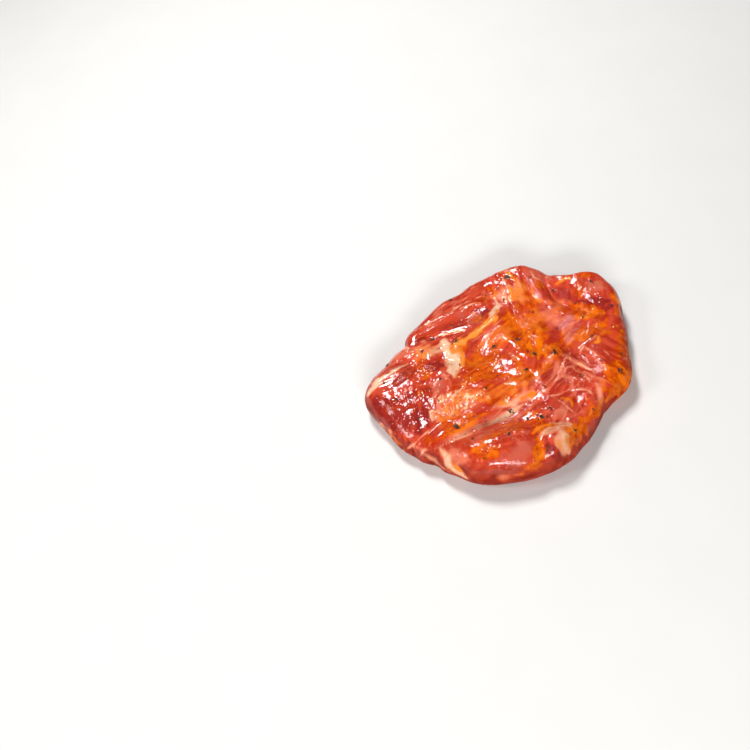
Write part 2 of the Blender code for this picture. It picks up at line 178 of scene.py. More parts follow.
WEBBING = {
    "wedge": (5.0, 4.0, 0.8, ((-46, -29), (-38, -27), (-30, -26.5), (-20, -27), (-8, -25))),
    "web heart": (6.0, 5.0, 0.95, ((-14, -22), (-7, -22), (0, -22), (5, -21))),
    "web rise": (2.6, 4.0, 0.7, ((0, -22), (2, -17), (4, -12), (6, -6))),
    "upper feathers": (2.6, 2.6, 0.6, ((-22, -23), (-14, -20.5), (-6, -18), (1, -14))),
    "middle line": (0.84, 1.9, 0.5, ((6, -4), (5, 6), (0, 14))),
    "fold peach": (1.0, 3.0, 0.5, ((-30, 9), (-28.5, 3), (-32, -1), (-38, -5), (-43, -8))),
    "fold peach low": (14.0, 6.0, 0.8, ((-43, -12), (-35, -9), (-27, -10), (-18, -13))),
    "crease line": (0.71, 1.23, 0.95, ((-66, -24), (-60, -22.5), (-54, -20.5), (-49, -18.8), (-44, -15.5))),
    "wall line": (0.8, 1.2, 1.0, ((-62, -32), (-58, -29.5), (-55.5, -27.5), (-52, -29))),
    "wall line low": (0.5, 1.0, 0.6, ((-60, -23), (-57.5, -26), (-55.5, -28))),
    "rim line": (0.67, 1.52, 0.7, ((-70, -4), (-68, -9), (-65, -13))),
    "peach shoulder": (9.0, 6.0, 0.4, ((-44, -32), (-42, -38), (-40, -42))),
    "marbling sheet": (3.4, 3.4, 0.55, ((4, -20), (9, -14), (16, -9), (24, -6))),
    "marbling 1": (0.63, 1.23, 0.95, ((28, -9), (30, -14), (33, -19), (36.5, -25))),
    "marbling 2": (0.55, 1.04, 0.85, ((38.5, -7), (40, -13), (41.2, -19), (41.8, -26))),
    "marbling 3": (0.67, 1.33, 0.85, ((9, -24), (16, -20), (21.5, -16.5), (25, -12), (31, -8))),
    "marbling 4": (0.55, 1.14, 0.75, ((29.5, -18), (30, -23), (31.5, -30))),
    "marbling 5": (0.84, 1.52, 0.85, ((11, -27.5), (19, -28), (25, -30), (28, -34), (28, -40))),
    "marbling 6": (0.55, 1.14, 0.7, ((3, -19), (7, -22), (11, -25))),
    "marbling 7": (2.0, 3.0, 0.7, ((33, -31), (32, -36), (31, -40), (27, -43))),
    "marbling 8": (0.84, 1.52, 0.8, ((50, -3), (43, -6), (38, -8), (35, -11))),
    "marbling 9": (0.5, 1.04, 0.6, ((11, -28), (14, -34), (16, -42))),
    "marbling 10": (0.46, 1.0, 0.6, ((20, -29), (21, -35), (19, -42))),
    "marbling 11": (0.46, 1.0, 0.6, ((33, -24), (37, -30), (40, -37))),
    "marbling 12": (0.46, 1.0, 0.55, ((45, -10), (46, -17), (45, -24))),
    # Pale webbing lines, partly a painted highlight along the back strip's fold ridges.
    "back strip line": (0.71, 1.42, 0.85, ((-32, 42), (-22, 44), (-12, 45), (-2, 47), (8, 48))),
    "back strip line 2": (0.5, 1.04, 0.7, ((-26, 42), (-12, 43), (0, 44.5), (9, 43))),
    "back strip line 3": (0.55, 1.14, 0.7, ((-14, 47), (-6, 48.5), (2, 51), (9, 53))),
    "back fold": (0.67, 1.33, 0.6, ((-8, 51), (0, 54), (8, 55.5))),
    "corner rim": (1.8, 2.4, 0.6, ((8, 58), (16, 58.5), (24, 58), (31, 56), (36, 55))),
    "corner fold 1": (0.76, 1.42, 0.75, ((30, 51), (29.5, 45), (28.5, 39), (26, 31))),
    "corner fold 2": (0.67, 1.23, 0.75, ((38, 50), (38.3, 44), (41.5, 39), (43.5, 34))),
    "corner fold 3": (0.67, 1.33, 0.7, ((33, 46), (32.5, 39), (33, 33), (36, 25))),
    "corner fold 4": (0.59, 1.14, 0.65, ((43, 46), (44.5, 41), (46.5, 37))),
    "corner fold 5": (0.59, 1.23, 0.6, ((33, 45), (36, 46), (39, 44), (40, 39))),
    "corner fold 6": (0.55, 1.14, 0.55, ((34, 32), (34, 26), (36, 21), (40, 18))),
    "corner fold 7": (0.55, 1.14, 0.5, ((41, 33), (40.5, 28), (43, 22))),
    "facet edge": (0.76, 1.52, 0.7, ((-6, 31), (-4, 35), (0, 38), (4, 36))),
    "left pink": (8.0, 5.0, 0.35, ((-50, 31), (-43, 31), (-37, 27))),
    "left fold": (0.76, 1.52, 0.7, ((-46, 32), (-41, 34), (-36, 32), (-28, 30))),
    "peach field": (9.0, 5.0, 0.7, ((-38, 25), (-32, 27), (-27, 26))),
    "centre right line": (0.46, 1.0, 0.5, ((20, 13), (30, 15), (36, 19), (44, 20))),
    "right line": (0.46, 1.0, 0.5, ((33, 3), (36, 8), (44, 8), (50, 12))),
    "under knob": (0.84, 1.52, 0.7, ((14, -50), (19, -46.5), (24, -44), (29, -41))),
    "flap pink": (5.0, 4.0, 0.2, ((57, 27), (62, 25), (66, 20))),
    "strand top": (0.59, 1.33, 0.6, ((-14, 21), (-5, 22.5), (4, 25.5), (11, 28))),
    "upper peach": (12.0, 9.0, 0.42, ((-6, 15), (4, 18), (12, 20))),
    "corner peach": (13.0, 9.0, 0.7, ((13, 47), (22, 42), (26, 34))),
    "centre peach": (13.0, 9.0, 0.5, ((26, 18), (34, 20), (42, 22))),
    "low middle peach": (8.0, 7.0, 0.4, ((-16, -14), (-6, -13), (2, -12))),
    "lower lobe line": (2.0, 3.0, 0.35, ((-34, -57), (-26, -59), (-18, -60))),
}
YELLOW_FAT = {
    "long strand": (
        (0.8, 2.4, 3.0, 3.8, 4.2, 1.5), 2.4, 1.0,
        ((12, 34), (7.5, 30.5), (0, 27.3), (-7, 25.3), (-12.5, 23.6), (-18.5, 25)),
    ),
    "thin seam strand": (0.9, 1.3, 0.95, ((-32, 37), (-27, 36), (-22.5, 33.8), (-17, 32.2), (-9, 30))),
    "flap top": (2.0, 2.4, 0.7, ((44, 37), (47, 35.5), (51, 36), (55, 35))),
    "right dabs": (1.6, 2.0, 0.75, ((41, -8.5), (45, -8), (48, -5))),
    "far dabs": (3.0, 3.0, 0.5, ((46, 9), (50, 8), (54, 10))),
    "corner drip": (1.2, 1.6, 0.75, ((23.5, 46), (22.3, 42), (21, 36))),
    "rim corner": (1.4, 1.8, 0.7, ((25.5, 56), (28, 53.5), (28.5, 49))),
    "corner line": (0.8, 1.4, 0.65, ((33, 41), (32.2, 34), (33.5, 28))),
    "web gold": (3.0, 3.4, 0.6, ((-4, -23.5), (1, -22), (6, -22))),
    "low fold gold": (2.6, 2.8, 0.5, ((-40, -25.5), (-32, -24.5), (-24, -23.5))),
    "front gold": (2.2, 2.6, 0.6, ((-7, -49), (-7, -53), (-11, -56.5), (-18, -57.5))),
    "knob gold": (2.4, 2.2, 0.65, ((7, -48), (10, -48), (12, -51))),
    "knob strand": (1.2, 1.6, 0.6, ((-6, -41.5), (0, -40.3), (6, -42.5))),
    "centre gold": (2.0, 2.2, 0.5, ((20, 14), (22, 12), (25, 13))),
    "band gold": (1.2, 1.4, 0.7, ((-46, -40), (-45.6, -43.5), (-45, -47))),
    "marbling gold": (1.4, 1.8, 0.5, ((15, -30), (17.5, -33.5), (17, -37))),
    "marbling gold low": (1.6, 2.0, 0.5, ((25, -36), (26, -39), (24, -41))),
    "flank rim": (0.9, 1.6, 0.55, ((-69.5, -6), (-66.8, -14.5), (-63.6, -24))),
    "patch edge": (0.9, 1.3, 0.8, ((-15.5, 19), (-17, 15), (-19.5, 11), (-23, 7))),
}
MARINADE = {
    "middle pool": (22.0, 8.0, 0.95, ((-22, 2), (-12, 2), (-2, 4))),
    "middle left": (13.0, 7.0, 0.8, ((-27, 3), (-26, -5), (-22, -13))),
    "orange pool": (12.0, 4.0, 1.7, ((12, 0), (17, 0.5), (22, 0))),
    "orange pool right": (8.0, 4.0, 1.0, ((22, 2), (24.5, -3), (24, -9))),
    "orange pool left": (9.0, 5.0, 1.1, ((3, -12), (6, -5), (8, 1))),
    "low middle": (12.0, 6.0, 1.0, ((-22, -13), (-12, -15), (-3, -14), (8, -9), (18, -10))),
    "fold zone": (13.0, 6.0, 0.75, ((-44, -19), (-34, -14), (-24, -14))),
    "below the folds": (5.5, 4.0, 1.0, ((-48, -25), (-38, -22.5), (-26, -21.5), (-16, -22))),
    "centre right": (24.0, 9.0, 1.0, ((4, 19), (16, 17), (28, 25))),
    "centre right haze": (15.0, 8.0, 0.4, ((31, 24), (38, 19), (46, 13))),
    "upper middle": (10.0, 6.0, 0.8, ((-12, 13), (-2, 14), (8, 16))),
    "back corner": (15.0, 8.0, 0.8, ((18, 36), (28, 38), (37, 39))),
    "back corner low": (12.0, 6.0, 0.8, ((14, 26), (24, 30), (34, 28))),
    "towards the flap": (9.0, 5.0, 0.9, ((44, 20), (48, 13), (53, 8), (58, 3))),
    "right orange": (10.0, 6.0, 0.95, ((30, 0), (44, 0), (57, -4))),
    "right rim": (10.0, 4.0, 1.2, ((58, -8), (53.5, -18), (53, -27), (48, -34), (40, -38), (31, -43))),
    "rim wall": (5.0, 3.5, 1.0, ((66, -12), (60, -24), (54, -34), (46, -41), (36, -46), (26, -50))),
    "lower right rim": (7.0, 3.5, 1.1, ((32, -42), (25, -44.5), (18, -48), (11, -52), (6, -56))),
    "right corner": (13.0, 7.0, 1.0, ((40, -33), (45, -28), (49, -22))),
    "flap patch": (6.0, 4.0, 1.0, ((52, 31), (54, 27), (53, 22))),
    "flap top": (4.0, 3.0, 0.8, ((54, 34), (60, 34), (64, 32))),
    "flap edge": (3.8, 2.0, 1.2, ((66, 17), (67, 12), (65, 7), (62, 1))),
    "front patch": (10.0, 6.0, 1.1, ((-34, -38), (-29, -42), (-23, -42))),
    "front haze": (12.0, 8.0, 0.5, ((-38, -34), (-28, -38), (-16, -40))),
    "front red patch": (6.0, 4.0, 0.9, ((-22, -34), (-14, -34.5), (-7, -34))),
    "front right patch": (7.0, 4.0, 0.85, ((-6, -34), (-2, -33), (-4, -40))),
    "front strand": (6.0, 3.5, 1.2, ((-5, -46), (-8, -53), (-13, -57), (-20, -58.5))),
    "front wall glaze": (6.0, 5.0, 0.5, ((-40, -50), (-30, -58), (-20, -61))),
    "knob side": (7.0, 4.0, 1.0, ((9, -47), (12, -51), (8, -56))),
    "knob strand": (4.0, 2.5, 0.9, ((-7, -42), (0, -40.5), (6, -43))),
    "knob glaze": (5.0, 5.0, 0.5, ((6, -50), (4, -54), (3, -59))),
    "near the fat": (5.0, 3.5, 0.9, ((-38, 22), (-35.5, 23), (-33, 27))),
    "red lobe spot": (3.8, 2.0, 0.95, ((-46, 4), (-43, 3))),
    "red lobe stripe": (3.6, 2.2, 0.9, ((-39, 20), (-38, 13), (-31, 11))),
    "back haze": (8.0, 6.0, 0.45, ((2, 43), (12, 44), (22, 50))),
    "back dab": (5.0, 3.5, 0.8, ((12, 52), (15, 48), (14, 44))),
    "rim by the pepper": (4.5, 3.0, 0.9, ((24, 54), (27, 52), (28, 48))),
    "facet dab": (2.4, 1.4, 1.0, ((3, 34), (5, 33.5))),
    "flank": (6.0, 5.0, 0.4, ((34, -20), (28, -20), (25, -26))),
    "above the strand": (5.0, 4.0, 0.6, ((-2, 33), (5, 33), (6, 30))),
    "peach glaze": (9.0, 6.0, 0.5, ((-40, 29), (-33, 27), (-27, 29))),
    "heart glaze": (9.0, 6.0, 0.4, ((-14, -20), (-4, -20), (2, -17))),
    "band glaze": (5.0, 5.0, 0.2, ((-49, -32), (-48, -40), (-45, -50))),
    "wedge glaze": (4.0, 4.0, 0.35, ((-44, -27), (-34, -26), (-24, -26))),
    "left seam glaze": (4.0, 3.0, 0.7, ((-48, -25), (-52, -24), (-44, -24))),
    "right muscle glaze": (5.0, 4.0, 0.5, ((17, -31), (24, -37), (26, -41))),
    "strand root": (5.0, 4.0, 0.8, ((-12, 22), (-16, 20), (-20, 24))),
}
# Crimson muscle, and painted shade: the front, left and right walls and the wall creases are coloured
# darker.
CRIMSON_AND_WALL_SHADE = {
    "left lobe": (25.0, 9.0, 1.0, ((-58, 5), (-54, -2), (-50, -8))),
    "marbled muscle": (20.0, 9.0, 0.42, ((12, -16), (24, -17), (36, -18))),
    "low marbled muscle": (11.0, 6.0, 0.4, ((8, -32), (16, -36), (22, -40))),
    "left lobe top": (6.0, 3.0, 1.0, ((-56, 14), (-46, 17), (-42, 17))),
    "dark pocket": (6.5, 2.4, 1.25, ((-36, 15), (-32, 15.5), (-28, 14))),
    "left lobe edge": (12.0, 8.0, 0.8, ((-66, 10), (-68, 0), (-64, -12))),
    "left lobe low": (11.0, 6.0, 0.9, ((-60, -14), (-52, -12), (-45, -6), (-43, 0))),
    "flap hollow": (6.5, 3.0, 0.55, ((45, 34), (46.5, 28), (48, 21))),
    "flap low": (8.5, 3.0, 1.1, ((51, 18), (57, 15), (63, 13))),
    "flap low wall": (5.0, 3.0, 0.8, ((56, 9), (61, 9), (64, 9))),
    "back red": (6.0, 4.0, 0.2, ((-20, 38), (-12, 37.5), (-4, 39))),
    "back shade": (2.6, 1.6, 0.7, ((-14, 34.5), (-10, 34.5), (-7, 35))),
    "back dark": (3.0, 2.0, 0.4, ((-26, 46), (-14, 49), (0, 51.5))),
    "back left red": (5.0, 3.0, 0.4, ((-38, 36), (-32, 35), (-26, 38))),
    "small dark": (4.5, 2.0, 1.0, ((0, 39), (4, 37.5), (8, 35))),
    "left of the knob": (6.0, 3.0, 0.9, ((-3, -50), (-4, -56), (-2, -63))),
    # Painted shade: from here to the left wall, the walls and their creases are coloured darker where shade
    # falls.
    "front wall": (5.0, 5.0, 0.9, ((-46, -55), (-38, -60), (-26, -64), (-10, -67), (4, -65))),
    "wall creases": (3.6, 2.4, 1.0, ((-54, -31), (-51, -37), (-48, -45))),
    "wall creases 2": (3.0, 2.0, 0.9, ((-60, -29), (-57, -35), (-53, -42))),
    "right wall": (5.0, 4.0, 0.8, ((8, -62), (20, -56), (32, -49))),
    "left wall": (7.0, 6.0, 0.6, ((-72, 8), (-71, -6), (-67, -18), (-60, -30))),
    "right dark": (4.0, 3.0, 0.6, ((38, 2), (44, 2), (49, 0))),
    "pool edge": (3.0, 2.0, 0.5, ((22, -6), (28, -4), (28, -10))),
}
# Rosy flesh, and painted sheen: the dull facet, the front lobe and the back shine are paler where soft light
# would reflect.
ROSY_AND_SHEEN = {
    "dull facet": (8.0, 5.0, 1.0, ((-38, 7), (-35, 5), (-36, 1))),
    "front lobe": (10.0, 9.0, 0.85, ((-24, -48), (-16, -49), (-9, -47))),
    "front top": (6.0, 4.0, 0.7, ((-32, -33), (-26, -33), (-20, -32))),
    "facet by the strand": (6.5, 3.0, 1.0, ((-4, 33), (1, 33.5), (3, 31))),
    "right muscle": (12.0, 6.0, 0.05, ((12, -18), (22, -22), (32, -20))),
    "low right muscle": (9.0, 5.0, 0.3, ((8, -36), (12, -41), (16, -45))),
    "back shine": (6.0, 4.0, 0.65, ((-2, 44), (-10, 42))),
    "left rim": (7.0, 5.0, 0.4, ((-58, 27), (-48, 30))),
    "corner": (8.0, 5.0, 0.6, ((33, 52), (40, 46), (46, 40))),
    "centre right": (14.0, 8.0, 0.25, ((22, 16), (34, 14), (44, 12))),
    "flap": (7.0, 4.0, 0.8, ((60, 28), (63, 22))),
    "right": (12.0, 7.0, 0.6, ((36, -4), (48, -3))),
}

# Where the surface is crinkled like wet silverskin, as the strokes above.
CRINKLED = {
    "left lobe": (24.0, 8.0, 0.6, ((-56, 4), (-48, 2), (-44, -2))),
    "lobe top": (8.0, 3.0, 1.0, ((-52, 16), (-42, 18), (-31, 15))),
    "fold zone": (17.0, 6.0, 1.0, ((-43, -11), (-34, -9), (-25, -10), (-17, -12))),
    "middle": (7.0, 5.0, 0.6, ((-4, 5), (2, 6), (8, 5))),
    "flap": (8.0, 4.0, 0.6, ((52, 28), (58, 26), (63, 25))),
    "right": (6.0, 4.0, 0.6, ((36, 2), (44, 1), (50, -2))),
    "front patch": (6.0, 3.0, 0.8, ((-20, -34), (-12, -35), (-6, -38))),
    "knob": (6.0, 3.0, 0.6, ((0, -44), (6, -44), (9, -48))),
    "back": (5.0, 3.0, 0.5, ((-22, 43), (-10, 44), (2, 46))),
}

# Which way the muscle fibres run: middle x and y of each muscle, its radius, and the direction in degrees.
GRAIN = {
    "left lobe": (-54.0, 0.0, 14.0, 78.0),
    "lobe top": (-42.0, 16.0, 9.0, 20.0),
    "middle": (-12.0, -4.0, 15.0, 12.0),
    "fold zone": (-33.0, -12.0, 8.0, 40.0),
    "below the folds": (-30.0, -24.0, 10.0, 6.0),
    "back strip": (-18.0, 45.0, 18.0, 12.0),
    "upper middle": (2.0, 18.0, 12.0, 24.0),
    "back corner": (28.0, 40.0, 12.0, 82.0),
    "centre right": (36.0, 12.0, 13.0, 28.0),
    "orange pool": (16.0, -4.0, 9.0, 60.0),
    "right muscle": (38.0, -18.0, 12.0, -64.0),
    "low right": (14.0, -28.0, 13.0, 32.0),
    "front lobe": (-24.0, -42.0, 16.0, -8.0),
    "flap": (56.0, 22.0, 10.0, 70.0),
    "knob": (4.0, -52.0, 9.0, 75.0),
}

# Where the paste dulls the gloss, and where the wall is oily enough to shine: as the strokes above.
DULLED = {
    "centre right": (26.0, 9.0, 1.0, ((6, 20), (22, 18), (40, 12), (52, 6))),
    "low right": (16.0, 8.0, 0.8, ((44, -8), (44, -20), (38, -28), (26, -34))),
    "back corner": (15.0, 8.0, 1.0, ((20, 40), (30, 42), (38, 37))),
    "flap hollow": (8.0, 5.0, 1.0, ((44, 34), (46, 27), (50, 20))),
    "right muscle": (16.0, 8.0, 0.9, ((12, -18), (24, -20), (36, -18))),
    "dull facet": (10.0, 4.0, 0.8, ((-38, 7), (-35, 5), (-36, 1))),
    "front middle": (12.0, 6.0, 0.7, ((-26, -46), (-16, -47), (-8, -44))),
    "orange pool": (10.0, 5.0, 0.6, ((12, 0), (17, 0.5), (22, 0))),
    "right rim": (7.0, 4.0, 1.3, ((60, -6), (55, -18), (54, -28), (48, -36), (38, -42), (24, -47))),
    "long strand": (5.0, 4.0, 0.5, ((-10, 24), (0, 27), (8, 31))),
}
SHINING_WALL = {
    "front shoulder": (7.0, 4.0, 1.0, ((-42, -42), (-36, -48.5), (-30, -52), (-23, -54.5), (-15, -56))),
    "left flank": (10.0, 8.0, 0.5, ((-66, 8), (-68, -2), (-62, -16))),
    "flap end": (5.0, 4.0, 0.6, ((66, 16), (67, 10), (65, 4))),
}

# Zones where fine pale threads run through the muscle, as the strokes above.
THREADED = {
    "right muscle": (26.0, 8.0, 0.9, ((12, -22), (26, -20), (40, -16))),
    "low right": (14.0, 6.0, 0.8, ((6, -36), (16, -40), (24, -36))),
    "centre right": (20.0, 8.0, 0.55, ((20, 20), (34, 18), (46, 14))),
    "back corner": (14.0, 6.0, 0.8, ((20, 42), (32, 44), (44, 38))),
    "back strip": (9.0, 5.0, 0.7, ((-32, 43), (-14, 47), (6, 52))),
    "front lobe": (14.0, 6.0, 0.5, ((-36, -34), (-20, -36), (-6, -38))),
    "left pink": (9.0, 5.0, 0.7, ((-58, 26), (-44, 29), (-32, 27))),
    "seam": (10.0, 5.0, 0.9, ((-44, -29), (-24, -26), (-4, -24), (8, -22))),
    "fold zone": (12.0, 5.0, 0.8, ((-42, -10), (-34, -11), (-24, -12))),
    "left wall": (12.0, 6.0, 0.4, ((-68, -10), (-62, -24), (-54, -36))),
    "flap": (8.0, 4.0, 0.4, ((56, 28), (60, 24), (64, 20))),
}

# Cracked pepper, as in the solid: the largest flakes where they lie (x, y, length), then smaller ones by
# a seeded rule.
LARGE_FLAKES = (
    (1.0, -37.0, 3.8),
    (45.0, -29.0, 3.4),
    (25.0, 51.0, 3.4),
    (0.0, 13.5, 3.2),
    (24.0, -5.0, 3.4),
    (-16.5, 24.5, 3.0),
    (14.0, -2.0, 2.8),
    (11.5, 10.5, 2.8),
    (-25.5, 33.5, 3.0),
    (-36.5, -23.0, 2.8),
    (-17.5, -41.0, 2.8),
    (-10.0, -25.5, 2.6),
    (11.5, -50.0, 2.4),
    (7.0, -8.0, 2.2),
    (52.0, -21.0, 2.2),
    (-5.0, -34.0, 2.0),
    (-34.0, 27.0, 2.0),
    (7.0, -34.0, 2.0),
)
SMALL_FLAKES = 34
SMALL_FLAKE_LENGTHS = (2.0, 1.3)
FLAKE_SEED = 5
FLAKE_EDGE_GAP = 3.0
CLEAR_OF_EACH_OTHER = 4.5
TRIES_EACH = 30

# The ball that a flake is broken from, and the crumbs round it: how many, how far off and how long. The
# shares are of the flake's own length.
BALL_SHARE = 0.85
CRUMBS_EACH = 4
CRUMB_DISTANCES = (0.35, 0.75)
CRUMB_SHARES = (0.18, 0.48)

# Crumbs strewn over the flesh: how many, their lengths, the chance of one where there is no marinade,
# how far they are raised as a share of their length, and the seeds of their places and their shapes.
PEPPER_CHIPS = (50, (0.45, 1.1), 0.35, 0.1, 71, 62)
SPICE_FLECKS = (420, (0.35, 1.05), 0.25, 0.025, 72, 63)
CRUMB_SEED = 64
FLAKE_SHAPE_SEED = 61

# Broken bits: rings and segments of the ball, how many planes cut it, how far from its middle they lie,
# as shares of its radius, and its length, width and thickness, as shares of the length given.
FLAKE_BALL = (7, 11)
CRUMB_BALL = (3, 6)
BIT_PLANES = 9
BIT_CUTS = (0.30, 0.85)
BIT_LENGTH = 1.25
BIT_WIDTHS = (0.65, 0.95)
BIT_THICKNESSES = (0.45, 0.7)

# Least upward part of the flesh's normal where a flake or a crumb may lie.
FLAKES_FACE_UP = 0.15
CRUMBS_FACE_UP = -0.1

# Cells along each side of the lattice of random heights under a noise, before it repeats.
LATTICE = 32

# Noises in spots: size of the spots, and the seed.
SPOTS = {
    "broad waver x": (5.0, 21),
    "fine waver x": (1.7, 22),
    "broad waver y": (5.0, 23),
    "fine waver y": (1.7, 24),
    "bend x": (3.1, 31),
    "bend y": (3.1, 32),
    "bend z": (3.1, 33),
    "crinkles": (2.2, 34),
    "lumps": (6.0, 38),
    "small lumps": (2.8, 39),
    "oil beads": (1.35, 40),
    "ragged edges": (3.4, 51),
    "blotches": (6.5, 52),
}

# Noises in streaks along the grain: length and width of the streaks, and the first muscle's seed.
STREAKS = {
    "folds": (14.0, 3.6, 100),
    "fibres": (8.0, 1.25, 120),
    "crinkles": (5.0, 1.7, 140),
    "ragged edges": (5.0, 1.3, 160),
    "blotches": (6.0, 2.2, 180),
    "wide threads": (18.0, 3.6, 200),
    "narrow threads": (10.0, 1.9, 240),
}

# How far noise moves the strokes, in broad and in fine waves, and how far it bends the creases.
BROAD_WAVER = 0.8
FINE_WAVER = 0.35
BEND = 0.9

# A stroke of one width narrows to this share of it over this share of its length at each end. The
# ragged values move its edge by these shares of its half-width and of its softness.
END_WIDTH = 0.3
TAPER = 0.3
RAGGED_BY_WIDTH = 0.5
RAGGED_BY_SOFTNESS = 0.6

# Weight below which a muscle's grain is left out at a point, and one that keeps the sum above nought.
NEGLIGIBLE = 1e-3
ABOVE_NOUGHT = 1e-6

# Pale threads: how near nought the noises have to be, and the strengths of the narrow ones and of all.
WIDE_BAND = 0.16
NARROW_BAND = 0.14
NARROW_THREADS = 0.75
THREAD_STRENGTH = 0.42

# Heights of the fine forms. Near the floor the flesh is smooth, and they rise to their full height over
# the fade above it.
RELIEF = {
    "crinkles": 0.34,
    "fibres": 0.07,
    "folds": 0.32,
    "lumps": 0.10,
    "oil beads": 0.10,
    "webbing": 0.12,
    "fat": 0.20,
}
SMOOTH_BELOW = 0.3
RELIEF_FADE = 2.0

# The flesh counts as side wall where its normal's upward part is below the steepness, and fully so a span
# below that. There its colour is painted darker, as shade, and its coat of oil is thinner.
WALL_STEEPNESS = 0.82
WALL_SPAN = 0.65

# Colours of the flesh and of what covers it, some of them painted shade, sheen and highlights.
TONES = {
    "meat": (0.46, 0.026, 0.011),
    "meat fibres": (0.67, 0.070, 0.030),
    "meat mottling": (0.74, 0.12, 0.045),
    # Rosy flesh, also laid on as a painted sheen.
    "rosy meat and sheen": (0.60, 0.115, 0.070),
    "crimson meat": (0.25, 0.011, 0.008),
    "crimson fibres": (0.38, 0.027, 0.020),
    # Painted shade: the side walls are coloured darker than the top.
    "wall": (0.20, 0.012, 0.004),
    "shaded wall fibres": (0.38, 0.038, 0.016),
    "thin webbing": (0.86, 0.24, 0.135),
    "webbing": (0.97, 0.56, 0.40),
    "thin fat": (0.78, 0.29, 0.16),
    "fat": (0.84, 0.40, 0.20),
    "fat mottling": (0.97, 0.70, 0.50),
    "oil tint": (1.0, 0.58, 0.14),
    "film": (0.64, 0.092, 0.003),
    "film mottling": (0.86, 0.170, 0.003),
    "film between fibres": (0.48, 0.046, 0.001),
    "film on webbing": (0.94, 0.27, 0.05),
    "pool": (0.96, 0.18, 0.0003),
    "thin gold": (0.90, 0.19, 0.006),
    "gold": (0.96, 0.32, 0.055),
    # Painted shade over the crumpled facets and in the crinkles' creases, and a painted highlight on their
    # crests.
    "hollow": (0.58, 0.045, 0.003),
    "crease": (0.66, 0.070, 0.004),
    "painted crest highlight": (0.99, 0.72, 0.46),
}

# The oil's own relief: heights of its swirls, of its crumpled facets and of the droplets strewn about.
OIL_SWIRLS = 0.5
OIL_FACETS = 0.7
OIL_DROPLETS = 0.13

# The facets: their size, how fine they are along each axis, and their turn in degrees. Noise moves them
# by this many cells, in this many waves for each cell. Then the droplets: how far apart, and how large.
FACET_SIZE = 2.4
FACET_FINENESS = (0.5, 1.0, 1.0)
FACET_TURN = 35.0
FACET_WAVER = 1.6
FACET_WAVES = 0.7
DROPLET_SPACING = 2.4
DROPLET_RADIUS = 0.9

# Soft lights: place, width and height, and power in watts. Then the strength of the surround, and how
# far the floor reaches each way.
LIGHTS = {
    "back softbox": ((-20.0, 520.0, 790.0), 210.0, 210.0, 6.9),
    "left softbox": ((-620.0, 100.0, 560.0), 200.0, 200.0, 1.5),
    "front softbox": ((-300.0, -700.0, 700.0), 500.0, 500.0, 1.0),
    "low front strip": ((-230.0, -830.0, 440.0), 500.0, 150.0, 6.3),
}
SURROUND = 0.045
FLOOR_REACH = 1500.0

# Camera: where it stands, its own right, down and forward directions, its lens, and how near it sees.
CAMERA_AT = (-99.94, -268.25, 384.0)
CAMERA_RIGHT = (0.92288, -0.34345, -0.17417)
CAMERA_DOWN = (-0.3761, -0.70671, -0.59925)
CAMERA_FORWARD = (0.08273, 0.61854, -0.78138)
SENSOR = 36.0
LENS = 44.95
NEAREST_SEEN = 10.0


def angle_gap(turn, direction):
    """Signed angle from a direction to each turn, both in degrees, in -180..180."""
    return (np.degrees(turn) - direction + 180.0) % 360.0 - 180.0


def bell(offset, spread):
    """A bell curve of height 1: exp(-(offset / spread)^2 / 2)."""
    return np.exp(-0.5 * (offset / spread) ** 2)


def smooth(value):
    """Eases 0..1 with 3 t^2 - 2 t^3, after clipping."""
    t = np.clip(value, 0.0, 1.0)
    return t * t * (3.0 - 2.0 * t)


def rim_radius(turn):
    """Distance from the middle to the outline: an ellipse in polar form, plus one bell for each lobe."""
    radius = HALF_LENGTH * HALF_WIDTH / np.hypot(HALF_WIDTH * np.cos(turn), HALF_LENGTH * np.sin(turn))
    for direction, spread, stand_out in RIM_LOBES.values():
        radius = radius + stand_out * bell(angle_gap(turn, direction), spread)
    return radius


def edge_round(turn):
    """Radius, seen from above, of the quarter arc from the top face to the widest line of the edge."""
    radius = np.full_like(turn, EDGE_ROUND_ABOVE)
    for direction, spread, more in SOFT_SHOULDERS.values():
        radius = radius + more * bell(angle_gap(turn, direction), spread)
    return radius


def through_points(points, steps=8):
    """A smooth line through the points: a Catmull-Rom curve, read at equal steps of each span."""
    knots = np.array(points, float)
    knots = np.vstack([2 * knots[0] - knots[1], knots, 2 * knots[-1] - knots[-2]])
    t = np.linspace(0.0, 1.0, steps, endpoint=False)[:, None]
    spans = []
    for a, b, c, d in zip(knots, knots[1:], knots[2:], knots[3:]):
        cubic = (3 * b - 3 * c + d - a) * t**3 + (2 * a - 5 * b + 4 * c - d) * t**2 + (c - a) * t + 2 * b
        spans.append(0.5 * cubic)
    return np.vstack([*spans, knots[-2:-1]])


def nearest_on_line(x, y, line):
    """Least distance from each point to a line's straight pieces, and how far along it that is, 0..1."""
    least = np.full_like(x, np.inf)
    place = np.zeros_like(x)
    for i, ((ax, ay), (bx, by)) in enumerate(zip(line, line[1:])):
        length_squared = (bx - ax) ** 2 + (by - ay) ** 2
        along = np.clip(((x - ax) * (bx - ax) + (y - ay) * (by - ay)) / length_squared, 0.0, 1.0)
        distance = np.hypot(x - ax - along * (bx - ax), y - ay - along * (by - ay))
        place = np.where(distance < least, (i + along) / (len(line) - 1), place)
        least = np.minimum(least, distance)
    return least, place


def seam_depth(x, y, width, depth, points):
    """A seam's depth: a bell across it, which fades in and out at its ends."""
    distance, place = nearest_on_line(x, y, through_points(points))
    fade = np.clip(np.minimum(place, 1.0 - place) / SEAM_FADE, 0.0, 1.0)
    return depth * fade * bell(distance, width / 2)


